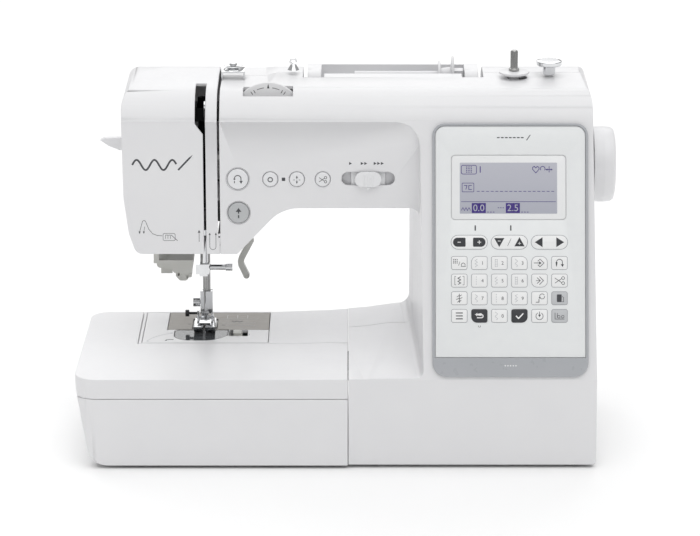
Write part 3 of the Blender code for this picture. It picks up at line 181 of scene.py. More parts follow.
def vary(surface, what, first, second, lump_mm, detail=2.0, stretch=None):
    """Lets a surface's colour, gloss or relief go from first to second over lumps of a size in mm.

    stretch draws the lumps out along an axis. A relief's first and second are its lowest and highest mm.
    """
    tree, shader, place = surface
    if stretch:
        place = add_node(tree, "ShaderNodeMapping", {"Vector": place, "Scale": stretch}).outputs["Vector"]
    noise = {"Vector": place, "Scale": 1 / (lump_mm * MM), "Detail": detail}
    lumps = add_node(tree, "ShaderNodeTexNoise", noise).outputs["Fac"]
    if what == "colour":
        # A Mix node keeps sockets for each kind of data: 6 and 7 are its colours, and output 2 the result.
        tones = {"Factor": lumps, 6: linear(first), 7: linear(second)}
        mix = add_node(tree, "ShaderNodeMix", tones, data_type="RGBA")
        tree.links.new(mix.outputs[2], shader.inputs["Base Color"])
    elif what == "gloss":
        spread = {"Value": lumps, "From Min": 0.3, "From Max": 0.7, "To Min": first, "To Max": second}
        made = add_node(tree, "ShaderNodeMapRange", spread)
        tree.links.new(made.outputs["Result"], shader.inputs["Roughness"])
    else:
        height = {"Height": lumps, "Distance": (second - first) * MM, "Strength": 1.0}
        made = add_node(tree, "ShaderNodeBump", height)
        tree.links.new(made.outputs["Normal"], shader.inputs["Normal"])


def moulded_plastic(name, first, second, low, high, texture_mm=0.7, depth_mm=0.012):
    """Plastic or rubber from a spark-eroded mould, or paint on a casting: even tone, fine pebble, soft gloss."""
    made, surface = begin(name, {"IOR": 1.53})
    vary(surface, "colour", first, second, 38.0)
    vary(surface, "gloss", low, high, 5.0, 4.0)
    vary(surface, "relief", 0.0, depth_mm, texture_mm, 3.0)
    return made


def printed_film(name, first, second, low, high):
    """Screen-printed ink or film: flat colour, a thin satin coat and a trace of the printing mesh."""
    made, surface = begin(name, {"IOR": 1.5})
    vary(surface, "colour", first, second, 9.0)
    vary(surface, "gloss", low, high, 2.5)
    vary(surface, "relief", 0.0, 0.003, 0.35)
    return made


def plated_metal(name, first, second, low, high, brush=None, brush_mm=0.4, depth_mm=0.002):
    """Metal that is plated or ground, or darkened as painted shade. brush draws the finishing marks out along an
    axis.
    """
    made, surface = begin(name, {"Metallic": 1.0})
    vary(surface, "colour", first, second, 7.0)
    vary(surface, "gloss", low, high, brush_mm, 4.0, brush)
    vary(surface, "relief", 0.0, depth_mm, brush_mm, 4.0, brush)
    return made


def clear_moulding(name, tint, roughness, clear_share):
    """Clear polycarbonate: mostly see-through, with a tinted body and a hard gloss."""
    made, surface = begin(
        name, {"Base Color": linear(tint), "Transmission Weight": clear_share, "IOR": 1.58}
    )
    vary(surface, "gloss", roughness * 0.7, roughness * 1.4, 3.0)
    return made


def screen_glass(name, first, second):
    """Liquid crystal display behind a clear window: blue-grey that deepens downwards, and a hard gloss."""
    made, surface = begin(name, {"Roughness": 0.3, "Coat Weight": 0.35, "Coat Roughness": 0.04})
    tree, shader, place = surface
    height = add_node(tree, "ShaderNodeSeparateXYZ", {"Vector": place}).outputs["Z"]
    low, high = SCREEN_Z[0] * MM, SCREEN_Z[1] * MM
    span = {"Value": height, "From Min": low, "From Max": high, "To Min": 1.0, "To Max": 0.0}
    fade = add_node(tree, "ShaderNodeMapRange", span).outputs["Result"]
    tones = {"Factor": fade, 6: linear(first), 7: linear(second)}
    mix = add_node(tree, "ShaderNodeMix", tones, data_type="RGBA")
    tree.links.new(mix.outputs[2], shader.inputs["Base Color"])
    vary(surface, "relief", 0.0, 0.001, 0.5)
    return made


MATERIALS = {}


def make_materials():
    c = colours()
    moulded, printed, metal = moulded_plastic, printed_film, plated_metal
    MATERIALS.update({
        # Near-white housing with a fine pebble that breaks up the light's reflection.
        "shell": moulded("ABS_moulded_white", c.shell, c.shell_shade, 0.30, 0.42),
        # Smoother white of the parts that fingers press, a little glossier than the housing.
        "button": moulded("ABS_moulded_white_fine", c.shell, "E6E7E9", 0.26, 0.36, 0.5, 0.006),
        # Flat mid-grey of the start button, with the same soft sheen.
        "key_grey": moulded("ABS_moulded_grey", c.key_grey, "B4B6B8", 0.34, 0.46, 0.5, 0.01),
        # Warm, dull grey of the slippery plastic used for levers.
        "mechanism_grey": moulded("POM_moulded_warm_grey", c.mechanism_grey, "C4C4BF", 0.36, 0.5, 0.6, 0.01),
        # The same grey as lacquer on metal, slightly shinier.
        "lever": moulded("aluminium_cast_grey_lacquered", c.mechanism_grey, "C4C4BF", 0.34, 0.46, 0.6, 0.01),
        # Silver-grey paint of the panel's rim, with a very fine grain.
        "rim": moulded("ABS_silver_painted", c.rim, "A6A9AD", 0.26, 0.36, 0.25, 0.004),
        # Satin off-white sheet under the keys.
        "sheet": printed("polyester_film_satin", c.sheet, "E7E9EA", 0.28, 0.38),
        # White border round the display, with a harder gloss than the sheet.
        "window": printed("acrylic_window_back_printed", "F0F1F1", "EBECED", 0.10, 0.16),
        # Keys: bright white, near black and pale grey, each a step duller than the sheet.
        "key_white": printed("embossed_film_white", "F3F3F3", "EEEFEF", 0.30, 0.42),
        "key_dark": printed("embossed_film_dark", c.key_dark, "34353A", 0.36, 0.5),
        "key_shaded": printed("embossed_film_grey", "C9CBCD", "BEC0C3", 0.34, 0.46),
        # Printing: mid-grey outlines, dark symbols, white symbols on dark keys and pale stitch samples.
        "line": printed("print_grey", c.key_line, "989A9F", 0.4, 0.5),
        "ink": printed("print_dark_grey", c.ink, "3F4045", 0.4, 0.52),
        "light_ink": printed("print_white", "F4F4F4", "ECECEC", 0.4, 0.5),
        "stitch_ink": printed("print_pale_grey", "BFC1C4", "B4B6BA", 0.4, 0.52),
        # Display: soft blue-grey ground and violet marks.
        "screen": screen_glass("display_liquid_crystal", c.screen, "AFB1BC"),
        "screen_ink": printed("display_lit_violet", c.screen_ink, "41327A", 0.25, 0.35),
        # Bright, mirror-like fittings.
        "chrome": metal("steel_chrome_plated", "E2E3E4", "D4D5D7", 0.05, 0.12, None, 1.2, 0.001),
        # Greyer steel with grinding marks that run up and down.
        "ground": metal("steel_ground", "B4B4B3", "A5A5A4", 0.22, 0.36, (1.0, 1.0, 0.06), 0.5),
        # Warm grey plate, brushed from left to right so that its highlight is drawn out.
        "plate": metal("steel_brushed_plate", "84817D", "7A7773", 0.34, 0.48, (0.04, 1.0, 1.0), 0.35, 0.004),
        # Rough skin of the frame inside, seen only through gaps. Its near-black colour is painted shade, not the
        # colour of the cast aluminium.
        "cast": moulded("aluminium_cast_painted_shade_dark", "2B2C2E", "222325", 0.5, 0.66, 0.9, 0.05),
        # Painted shade on the bar inside the head: near black, so that its slot reads as a shadow.
        "bar_painted_shade": metal("steel_painted_shade", "26272A", "1E1F21", 0.4, 0.55, None, 1.0, 0.002),
        # Light floor behind the speed slider, one step darker than the housing: the darker tone is painted shade
        # of the recess.
        "track": moulded("ABS_white_track_painted_shade", "DDDDDF", "D6D6D9", 0.4, 0.5, 0.5, 0.006),
        # Black mouldings: satin for switches and sockets. The dull near-black is painted shadow in hollows.
        "black": moulded("ABS_moulded_black", "1D1D1F", "252528", 0.38, 0.5, 0.6, 0.01),
        "shadow": moulded("painted_shadow_black", "141415", "1C1C1E", 0.6, 0.75, 0.8, 0.02),
        # Matt black feet and belt.
        "rubber": moulded("rubber_black", "222224", "2C2C2E", 0.75, 0.9, 0.5, 0.03),
        # See-through covers: smoky over the bobbin, almost colourless for the bobbin.
        "clear": clear_moulding("polycarbonate_smoky", "8A8D90", 0.06, 0.72),
        "bobbin_clear": clear_moulding("polycarbonate_clear", "E6E9EB", 0.10, 0.75),
        # Green laminate behind the display.
        "board": printed("epoxy_board_green", "1F5B38", "28683F", 0.4, 0.55),
    })


# ---------------------------------------------------------------- making pieces

def new_object(name, data):
    obj = bpy.data.objects.new(name, data)
    bpy.context.scene.collection.objects.link(obj)
    return obj


def finish_piece(name, bm, body, material):
    """A bmesh in metres becomes a piece that rides on a body."""
    bmesh.ops.recalc_face_normals(bm, faces=bm.faces)
    mesh = bpy.data.meshes.new(name)
    bm.to_mesh(mesh)
    bm.free()
    mesh.shade_smooth()
    mesh.set_sharp_from_angle(angle=SMOOTH_BELOW)
    obj = new_object(name, mesh)
    mesh.materials.append(MATERIALS[material])
    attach(obj, body)
    return obj


def mark_long_edges(bm, edge):
    """Weights the sharp edges to round. Where a very short edge ends, a bevel would cross itself."""
    weight = bm.edges.layers.float.new("bevel_weight_edge")
    crowded = {vert for e in bm.edges if e.calc_length() < CROWDED * edge for vert in e.verts}
    for e in bm.edges:
        sharp = len(e.link_faces) == 2 and e.calc_face_angle(0) > ROUND_ABOVE
        if sharp and not crowded.intersection(e.verts):
            e[weight] = 1.0


def dressed(node, material, edge=0.0, segments=2, snug=False):
    """A finer copy of a CAD node: corners merged, flat faces rejoined, edges rounded by a Bevel.

    snug is for small or crowded pieces: the rounding stays within their shortest edges.
    """
    bm = bmesh.new()
    bm.from_mesh(frame["nodes"][node].data)
    bmesh.ops.remove_doubles(bm, verts=bm.verts, dist=MERGE_WITHIN)
    bmesh.ops.dissolve_limit(bm, angle_limit=FLAT_WITHIN, verts=bm.verts, edges=bm.edges)
    mark_long_edges(bm, edge)
    obj = finish_piece(f"{node}_finish", bm, BODY_OF[node], material)
    if edge:
        bevel = obj.modifiers.new("Rounded edges", "BEVEL")
        bevel.width = edge
        bevel.segments = segments
        bevel.limit_method = "WEIGHT"
        bevel.use_clamp_overlap = snug
        bevel.miter_outer = "MITER_SHARP" if snug else "MITER_ARC"
    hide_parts(node)
    return obj


def soft_edged(node, material, snug=False):
    """Dresses a piece whose edges are rounded more than its neighbours'."""
    return dressed(node, material, SOFT_EDGES[node] * MM, 3, snug)


def repaint(node, material):
    """Gives a CAD node that keeps its shape one of the finishes."""
    mesh = frame["nodes"][node].data
    mesh.materials.clear()
    mesh.materials.append(MATERIALS[material])


def rounded(left, right, low, high, radii, steps=5):
    """A rectangle's outline, anticlockwise from the bottom left. radii is one number or one per corner."""
    if not isinstance(radii, (tuple, list)):
        radii = (radii,) * 4
    corners = ((left, low, 1, 1), (right, low, -1, 1), (right, high, -1, -1), (left, high, 1, -1))
    points = []
    for turn, ((x, y, sx, sy), radius) in enumerate(zip(corners, radii)):
        if radius <= 0:
            points.append((x, y))
            continue
        for k in range(steps + 1):
            angle = math.radians(180 + 90 * turn + 90 * k / steps)
            middle_x, middle_y = x + sx * radius, y + sy * radius
            points.append((middle_x + radius * math.cos(angle), middle_y + radius * math.sin(angle)))
    return points


def circle(x, y, radius, sides=28):
    turns = [2 * math.pi * k / sides for k in range(sides)]
    return [(x + radius * math.cos(t), y + radius * math.sin(t)) for t in turns]


def add_plate(bm, outlines, low, high, place, soften=0.0):
    """Adds a flat plate between two heights in mm. The first outline is its rim and the others are holes."""
    edges = []
    for outline in outlines:
        verts = [bm.verts.new((a * MM, b * MM, low * MM)) for a, b in outline]
        edges += [bm.edges.new((verts[i - 1], verts[i])) for i in range(len(verts))]
    if len(outlines) == 1:
        faces = [bm.faces.new([e.verts[1] for e in edges])]
    else:
        made = bmesh.ops.triangle_fill(bm, use_beauty=True, edges=edges)["geom"]
        faces = [item for item in made if isinstance(item, bmesh.types.BMFace)]
    raised = bmesh.ops.extrude_face_region(bm, geom=faces)["geom"]
    top = [item for item in raised if isinstance(item, bmesh.types.BMVert)]
    bmesh.ops.translate(bm, verts=top, vec=(0, 0, (high - low) * MM))
    verts = set(top) | {v for f in faces for v in f.verts}
    if soften:
        rim = [e for e in {e for v in top for e in v.link_edges} if all(v in set(top) for v in e.verts)]
        rim = [e for e in rim if len(e.link_faces) == 2 and e.calc_face_angle(0) > 0.6]
        made = bmesh.ops.bevel(
            bm, geom=rim, offset=soften * MM, segments=2, affect="EDGES", profile=0.5, material=-1
        )
        verts |= set(made["verts"])
    bmesh.ops.transform(bm, verts=[v for v in verts if v.is_valid], matrix=place)


def ribbon(path, width, closed=False):
    """The outline of a pen stroke of even width. A closed path gives a rim and a hole."""
    count = len(path)
    left, right = [], []
    for i, point in enumerate(path):
        here = Vector(point)
        before = Vector(path[i - 1]) if closed or i else None
        after = Vector(path[(i + 1) % count]) if closed or i + 1 < count else None
        into = (here - before).normalized() if before is not None else (after - here).normalized()
        out = (after - here).normalized() if after is not None else into
        along = into + out
        along = along.normalized() if along.length > 1e-6 else into
        side = Vector((-along.y, along.x)) * (width / 2 / max(along.dot(out), 0.35))
        left.append(tuple(here + side))
        right.append(tuple(here - side))
    if closed:
        return [right, left]
    return [right + left[::-1]]


def arc(x, y, radius, start, end, steps=10):
    """Points on an arc, angles in degrees."""
    turns = [math.radians(start + (end - start) * k / steps) for k in range(steps + 1)]
    return [(x + radius * math.cos(t), y + radius * math.sin(t)) for t in turns]


def shifted(points, x, y):
    return [(x + a, y + b) for a, b in points]


class Printer:
    """Collects printed marks that lie in one plane and then makes them one thin piece.

    Marks are given about a point that at() sets, in mm.
    """

    def __init__(self, place, height):
        self.bm = bmesh.new()
        self.place = place
        self.height = height
        self.thick = sizes().print_height / MM
        self.origin = (0.0, 0.0)

    def at(self, x, y):
        self.origin = (x, y)
        return self

    def area(self, *outlines):
        outlines = [shifted(outline, *self.origin) for outline in outlines]
        add_plate(self.bm, outlines, self.height, self.height + self.thick, self.place)

    def stroke(self, path, width, closed=False):
        self.area(*ribbon(path, width, closed))

    def strokes(self, width, *paths):
        for path in paths:
            self.stroke(path, width)

    def text(self, body, x, y, size):
        """Figures in Blender's own typeface, centred on a point."""
        curve = bpy.data.curves.new("figure", "FONT")
        curve.body = body
        curve.size = size * MM
        curve.align_x = "CENTER"
        curve.align_y = "CENTER"
        curve.resolution_u = 3
        curve.extrude = self.thick / 2 * MM
        obj = new_object("figure", curve)
        graph = bpy.context.evaluated_depsgraph_get()
        mesh = bpy.data.meshes.new_from_object(obj.evaluated_get(graph))
        bpy.data.objects.remove(obj)
        middle = Matrix.Translation(Vector((x, y, self.height + self.thick / 2)) * MM)
        mesh.transform(self.place @ middle)
        self.bm.from_mesh(mesh)
        bpy.data.meshes.remove(mesh)

    def piece(self, name, material, slot="housing_white", body="housing"):
        bmesh.ops.remove_doubles(self.bm, verts=self.bm.verts, dist=MERGE_WITHIN / 2)
        return finish_piece(name, self.bm, body, material)


def panel_frame():
    """The control panel's plane: X right, Y up the slope and Z out of it, with the origin in its middle."""
    low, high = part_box("panel_bezel")
    out = Vector((0, -math.cos(math.atan(SLOPE)), math.sin(math.atan(SLOPE))))
    turn = Matrix.Rotation(math.atan2(1, SLOPE), 4, "X")
    return Matrix.Translation((low + high) / 2 - out * 1.25 * MM) @ turn


def arm_frame():
    """The arm's front: X right and Y up, in the machine's own x and z, with Z towards the operator."""
    return Matrix.Translation((0, ARM_FACE_Y * MM, 0)) @ Matrix.Rotation(math.pi / 2, 4, "X")


# ---------------------------------------------------------------- operators

class MACHINE_OT_shells(bpy.types.Operator):
    """Round the edges of the moulded covers and give them their plastic"""
    bl_idname = "machine.shells"
    bl_label = "Moulded shells"

    def execute(self, context):
        edge = sizes().edge
        covers = ("front_cover", "rear_cover", "face_cover", "free_arm_cover", "flat_bed_tray")
        for node in (*covers, "accessory_door"):
            dressed(node, "shell", edge)
        dressed("needle_plate_cover", "shell", sizes().small_edge)
        dressed("carry_handle", "shell", edge * 1.6, 3)
        dressed("handwheel", "shell", edge)
        dressed("base_plate", "key_grey", edge)
        return {"FINISHED"}


class MACHINE_OT_panel(bpy.types.Operator):
    """Build the control panel: rim, sheet, keys, symbols and screen"""
    bl_idname = "machine.panel"
    bl_label = "Control panel"

    def execute(self, context):
        place = panel_frame()
        soft_edged("panel_bezel", "rim", snug=True)
        self.sheet(place)
        self.keys(place)
        self.symbols(place)
        self.screen(place)
        return {"FINISHED"}

    def sheet(self, place):
        half_w, half_h = PANEL_W / 2 - RIM_W, PANEL_H / 2 - RIM_W
        low = -PANEL_H / 2 + BAND_H + SHEET_GAP
        outline = rounded(-half_w, half_w, low, half_h, (0, 0, 7.0, 7.0), 8)
        gap = SHEET_GAP
        hole = rounded(WINDOW[0] - gap, WINDOW[1] + gap, WINDOW[2] - gap, WINDOW[3] + gap, 3.0)
        bm = bmesh.new()
        add_plate(bm, [outline, hole[::-1]], SHEET_LOW, SHEET_TOP, place, 0.25)
        sheet = finish_piece("key_sheet", bm, "housing", "sheet")
        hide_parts("key_panel")

    def key_shapes(self):
        """Outline and kind of each key. Some keys have one or two large corners."""
        large = {(0, 1): (1.6, 1.6, 1.6, 4.4), (0, 3): (1.6, 1.6, 4.4, 1.6), (0, 4): (1.6, 1.6, 4.4, 4.4),
                 (1, 4): (4.4, 4.4, 1.6, 1.6), (3, 1): (4.4, 1.6, 1.6, 1.6), (3, 3): (1.6, 4.4, 1.6, 1.6)}
        dark, shaded = {(3, 1), (3, 3)}, {(2, 5), (3, 5)}
        for row in range(4):
            for column in range(6):
                x = KEYS_X + (column - 2.5) * KEY_PITCH_X
                y = KEY_TOP_Y - row * KEY_PITCH_Y
                kind = "dark" if (row, column) in dark else "shaded" if (row, column) in shaded else "white"
                yield x, y, KEY_W, KEY_H, large.get((row, column), 1.6), kind
        for i in range(3):
            yield KEYS_X + (i - 1) * PILL_PITCH, PILL_Y, PILL_W, PILL_H, PILL_H / 2 - 0.01, "white"

    def keys(self, place):
        pads = {kind: bmesh.new() for kind in ("white", "shaded", "dark")}
        lines = Printer(place, SHEET_TOP)
        rise = sizes().key_rise / MM
        for x, y, w, h, radii, kind in self.key_shapes():
            radii = radii if isinstance(radii, tuple) else (radii,) * 4
            outer = rounded(x - w / 2, x + w / 2, y - h / 2, y + h / 2, radii, 6)
            half_w, half_h = w / 2 - KEY_LINE_W, h / 2 - KEY_LINE_W
            radii = tuple(max(r - KEY_LINE_W, 0.3) for r in radii)
            inner = rounded(x - half_w, x + half_w, y - half_h, y + half_h, radii, 6)
            if kind == "dark":
                add_plate(pads[kind], [outer], SHEET_TOP - 0.3, SHEET_TOP + rise, place, 0.25)
            else:
                lines.area(outer, inner[::-1])
                add_plate(pads[kind], [inner], SHEET_TOP - 0.3, SHEET_TOP + rise, place, 0.3)
        for kind, bm in pads.items():
            finish_piece(f"{kind}_keys", bm, "housing", f"key_{kind}")
        lines.piece("key_outlines", "line", "key_membrane")

    def symbols(self, place):
        top = SHEET_TOP + sizes().key_rise / MM
        ink, pale, light = Printer(place, top), Printer(place, top), Printer(place, top)
        dark = Printer(place, top)
        key_x = [KEYS_X + (column - 2.5) * KEY_PITCH_X for column in range(6)]
        key_y = [KEY_TOP_Y - row * KEY_PITCH_Y for row in range(4)]
        self.double_keys(dark, light, ink)
        figures = {(0, 1): "1", (0, 2): "2", (0, 3): "3", (1, 1): "4", (1, 2): "5", (1, 3): "6", (2, 1): "7",
                   (2, 2): "8", (2, 3): "9", (3, 2): "0"}
        for (row, column), figure in figures.items():
            x, y = key_x[column], key_y[row]
            ink.text(figure, x + 2.4, y - 0.2, 3.7)
            self.stitch(pale, x - 2.3, y, row * 3 + column)
        self.left_symbols(ink, key_x[0], key_y)
        self.right_symbols(ink, key_x, key_y)
        light.at(key_x[1], key_y[3])
        light.stroke([(-2.8, 1.0), (1.6, 1.0)] + arc(1.6, -0.2, 1.2, 90, -90, 6) + [(-1.8, -1.4)], 0.75)
        light.area([(-1.6, -0.3), (-1.6, 2.3), (-3.4, 1.0)])
        light.at(key_x[3], key_y[3]).stroke([(-2.6, 0.0), (-0.7, -1.9), (2.9, 1.9)], 0.95)
        ink.piece("key_symbols", "ink", "key_membrane")
        pale.piece("key_stitch_symbols", "stitch_ink", "key_membrane")
        dark.piece("double_key_symbols", "key_dark", "key_membrane")
        light_piece = light.piece("light_key_symbols", "light_ink", "key_membrane")
        for vertex in light_piece.data.vertices:
            vertex.co += (place.to_3x3() @ Vector((0, 0, 1))) * sizes().print_height * 1.2
        marks = Printer(place, SHEET_TOP)
        for x in (-26.4, 0.3):
            marks.area(rounded(x - 0.5, x + 0.5, 14.6, 18.6, 0.3, 2))
        marks.stroke(arc(key_x[1] + 0.1, key_y[3] - 7.7, 0.8, 150, 390, 8), 0.3)
        marks.piece("panel_marks", "ink", "key_membrane")
        self.motif(place)

    def motif(self, place):
        """A plain running stitch stands above the screen, and a row of dots on the band."""
        mark = Printer(place, SHEET_TOP)
        for k in range(7):
            x = -9.0 + k * 3.0
            mark.stroke([(x - 1.0, 84.6), (x + 1.0, 84.6)], 0.8)
        mark.stroke([(12.2, 82.6), (15.0, 86.6)], 0.6)
        mark.piece("panel_motif", "ink", "key_membrane")
        dots = Printer(place, 2.2)
        for k in range(5):
            dots.area(circle(-4.0 + k * 2.0, -PANEL_H / 2 + 8.4, 0.5, 14))
        dots.piece("band_dots", "light_ink", "panel_rim")

    def double_keys(self, dark, light, ink):
        for pen in (dark, light):
            pen.at(KEYS_X - PILL_PITCH, PILL_Y)
        dark.area(rounded(-12.2, -2.8, -3.4, 3.4, (3.3, 0.8, 0.8, 3.3), 6))
        dark.area(rounded(2.8, 12.2, -3.4, 3.4, (0.8, 3.3, 3.3, 0.8), 6))
        light.strokes(0.55, [(-8.8, 0), (-6.4, 0)], [(6.1, 0), (8.9, 0)], [(7.5, -1.4), (7.5, 1.4)])
        for pen in (dark, light, ink):
            pen.at(KEYS_X, PILL_Y)
        dark.area([(-7.6, -3.6), (-3.8, 3.1), (-11.4, 3.1)])
        dark.area([(3.8, -3.1), (11.4, -3.1), (7.6, 3.8)])
        light.strokes(0.45, [(-8.7, 0.9), (-6.5, 0.9)], [(6.5, -0.9), (8.7, -0.9)], [(7.6, -2.0), (7.6, 0.2)])
        ink.stroke([(-1.3, -2.8), (1.3, 2.8)], 0.3)
        dark.at(KEYS_X + PILL_PITCH, PILL_Y)
        dark.area([(-11.0, 0), (-5.2, -3.7), (-5.2, 3.7)])
        dark.area([(11.0, 0), (5.2, 3.7), (5.2, -3.7)])

    def stitch(self, printer, x, y, kind):
        """A pale sample of one stitch, seen as a short upright line, zigzag or dotted line."""
        printer.at(x, y)
        style = kind % 4
        if style == 0:
            for k in range(4):
                printer.stroke([(0, -3.2 + k * 1.8), (0, -2.1 + k * 1.8)], 0.35)
        elif style == 1:
            printer.stroke([(0.9 if k % 2 else -0.9, -3.0 + k * 1.2) for k in range(6)], 0.32)
        elif style == 2:
            for dx in (-0.8, 0.8):
                printer.stroke([(dx, -3.0), (dx, 3.0)], 0.28)
            for k in range(4):
                printer.stroke([(-0.8, -2.6 + k * 1.7), (0.8, -2.6 + k * 1.7)], 0.28)
        else:
            printer.stroke([(0.9 * math.sin(k * 0.9), -3.0 + k * 0.5) for k in range(13)], 0.32)

    def left_symbols(self, ink, x, rows):
        ink.at(x, rows[0])
        for i in range(3):
            for j in range(3):
                ink.area(circle(-4.2 + i * 1.3, 2.6 - j * 1.3, 0.42, 8))
        ink.stroke([(-0.6, -2.0), (0.5, 1.0)], 0.3)
        ink.strokes(0.4, arc(3.0, -1.4, 1.4, -30, 210, 8), [(1.2, -2.6), (4.9, -2.6)])
        ink.at(x, rows[1])
        ink.stroke([(1.0 if k % 2 else -1.0, -3.0 + k * 1.2) for k in range(6)], 0.5)
        ink.strokes(
            0.3, [(-2.4, 3.2), (-3.4, 3.2), (-3.4, -3.2), (-2.4, -3.2)],
            [(2.4, 3.2), (3.6, 3.2), (3.6, -3.2), (2.4, -3.2)],
        )
        ink.at(x, rows[2])
        ink.stroke([(0, -3.4), (0, 3.4)], 0.45)
        for k, reach in enumerate((1.8, 2.3, 1.5)):
            ink.strokes(
                0.4, [(0, 2.2 - k * 2.0), (-reach, 0.9 - k * 2.0)],
                [(0, 1.4 - k * 2.0), (reach, 2.6 - k * 2.0)],
            )
        ink.at(x, rows[3])
        for k in range(3):
            ink.stroke([(-2.6, 2.2 - k * 2.2), (2.6, 2.2 - k * 2.2)], 0.75)

    def right_symbols(self, ink, xs, rows):
        ink.at(xs[4], rows[0])
        ink.strokes(
            0.45, [(0.4, 2.9), (3.4, 0), (0.4, -2.9), (-1.2, -1.3)], [(0.4, 2.9), (-1.2, 1.3)],
            [(-4.2, 0), (0.4, 0)],
        )
        ink.area([(1.6, 0), (-0.2, 1.2), (-0.2, -1.2)])
        ink.at(xs[4], rows[1])
        ink.strokes(0.45, [(0, 3.0), (3.0, 0), (0, -3.0)], [(-1.8, 2.2), (0.6, 0), (-1.8, -2.2)])
        ink.stroke([(-2.6, 0), (0.4, 0)], 0.35)
        ink.at(xs[4], rows[2])
        ink.stroke([(-2.8, -3.0), (-0.4, -3.0), (-0.4, -0.6)], 0.5)
        ink.strokes(0.4, arc(2.0, 1.4, 1.9, 30, 190, 8), arc(2.0, 1.4, 1.9, 215, 370, 8))
        ink.area([(0.1, -0.4), (1.0, 0.9), (-0.6, 0.9)])
        ink.at(xs[4], rows[3])
        ink.stroke(arc(0, -0.2, 2.7, 60, -240, 14), 0.42)
        ink.stroke([(0, 3.2), (0, 0.4)], 0.45)
        ink.area([(0, -0.8), (1.1, 0.9), (-1.1, 0.9)])
        ink.at(xs[5], rows[0])
        ink.stroke([(-2.2, -2.6), (-2.2, 0.6)] + arc(0, 0.6, 2.2, 180, 0, 8) + [(2.2, -1.2)], 0.5)
        ink.area([(2.2, -3.0), (3.4, -1.0), (1.0, -1.0)])
        ink.at(xs[5], rows[1])
        ink.strokes(0.42, [(-3.4, 1.9), (1.6, -1.5)], [(-3.4, -1.9), (1.6, 1.5)])
        for side in (1, -1):
            ink.stroke(circle(2.7, side * 1.9, 1.1, 10), 0.4, True)
        ink.at(xs[5], rows[2])
        ink.area(rounded(-2.0, 1.6, -2.9, 2.9, 0.4, 2))
        ink.stroke([(1.9, 1.6), (3.0, 0.5), (3.0, -2.6), (1.9, -2.6)], 0.35)
        ink.at(xs[5], rows[3])
        ink.stroke([(-3.4, 2.4), (-3.4, -2.4), (3.6, -2.4)], 0.4)
        ink.stroke(circle(-0.6, -0.6, 1.0, 10), 0.35, True)
        ink.stroke(circle(2.4, -0.6, 1.0, 10), 0.35, True)
        ink.stroke([(-1.6, 2.2), (-1.6, -1.4)], 0.35)

    def screen(self, place):
        top = WINDOW_TOP
        bm = bmesh.new()
        add_plate(bm, [rounded(*WINDOW, 2.7)], SHEET_LOW, top, place, 0.15)
        window = finish_piece("display_cover", bm, "housing", "window")
        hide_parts("display_window")
        bm = bmesh.new()
        add_plate(bm, [rounded(*LCD, 0.5, 2)], top, top + 0.05, place)
        finish_piece("display_area", bm, "housing", "screen")
        marks, clear = Printer(place, top + 0.05), Printer(place, top + 0.12)
        self.screen_marks(marks, clear)
        marks.piece("display_marks", "screen_ink", "screen_glass")
        clear.piece("display_figures", "screen", "screen_glass")

    def screen_marks(self, marks, clear):
        left, right, low, high = LCD
        width = right - left
        marks.at(left + 1.2, high - 8.6)
        marks.stroke(rounded(0, 11.4, 0, 6.6, 1.2, 3), 0.45, True)
        for i in range(3):
            for j in range(4):
                marks.area(rounded(3.6 + i * 1.7, 4.5 + i * 1.7, 1.1 + j * 1.3, 1.8 + j * 1.3, 0))
        marks.text("1", left + 15.4, high - 5.4, 7.0)
        marks.at(right, high - 8.6)
        right_half = [(0, -2.6), (2.4, 0.2), (2.4, 1.6), (1.2, 2.4)]
        left_half = [(0, 1.2), (-1.2, 2.4), (-2.4, 1.6), (-2.4, 0.2)]
        marks.stroke(shifted(right_half + left_half, -16.0, 3.4), 0.5, True)
        marks.strokes(
            0.5, arc(-10.8, 4.0, 1.8, -40, 220, 8), [(-8.4, 3.4), (-3.6, 3.4)],
            [(-6.0, 1.2), (-6.0, 5.8)],
        )
        marks.area([(-8.8, 3.4), (-7.2, 2.6), (-7.2, 4.2)])
        marks.area([(-3.2, 3.4), (-4.8, 4.2), (-4.8, 2.6)])
        marks.at(left + 1.2, high - 22.0)
        marks.stroke(rounded(0.6, 9.4, 0, 6.6, 0.4, 2), 0.4, True)
        marks.strokes(
            0.5, [(2.0, 4.8), (4.2, 4.8), (3.4, 1.8)], [(7.8, 4.8), (5.6, 4.8), (5.6, 1.8), (7.8, 1.8)],
        )
        for k in range(17):
            start = 11.6 + k * 3.5
            marks.stroke([(start, 0.4), (min(start + 2.2, width - 2.4), 0.4)], 0.42)
        marks.at(left, low)
        marks.stroke([(1.0, 9.0), (width - 1.0, 9.0)], 0.35)
        marks.stroke([(1.2 + k * 1.15, 4.6 if k % 2 else 2.4) for k in range(7)], 0.4)
        for start, figure in ((9.0, "0.0"), (34.6, "2.5")):
            marks.area(rounded(start, start + 10.6, 0.5, 8.0, 0))
            clear.text(figure, left + start + 5.3, low + 4.1, 7.2)
        for start in (20.6, 46.2):
            for k in range(3):
                marks.stroke([(start + k * 2.1, 1.2), (start + k * 2.1 + 1.3, 1.2)], 0.5)
        for k in range(3):
            marks.stroke([(28.6 + k * 1.8, 4.4), (29.6 + k * 1.8, 4.4)], 0.5)


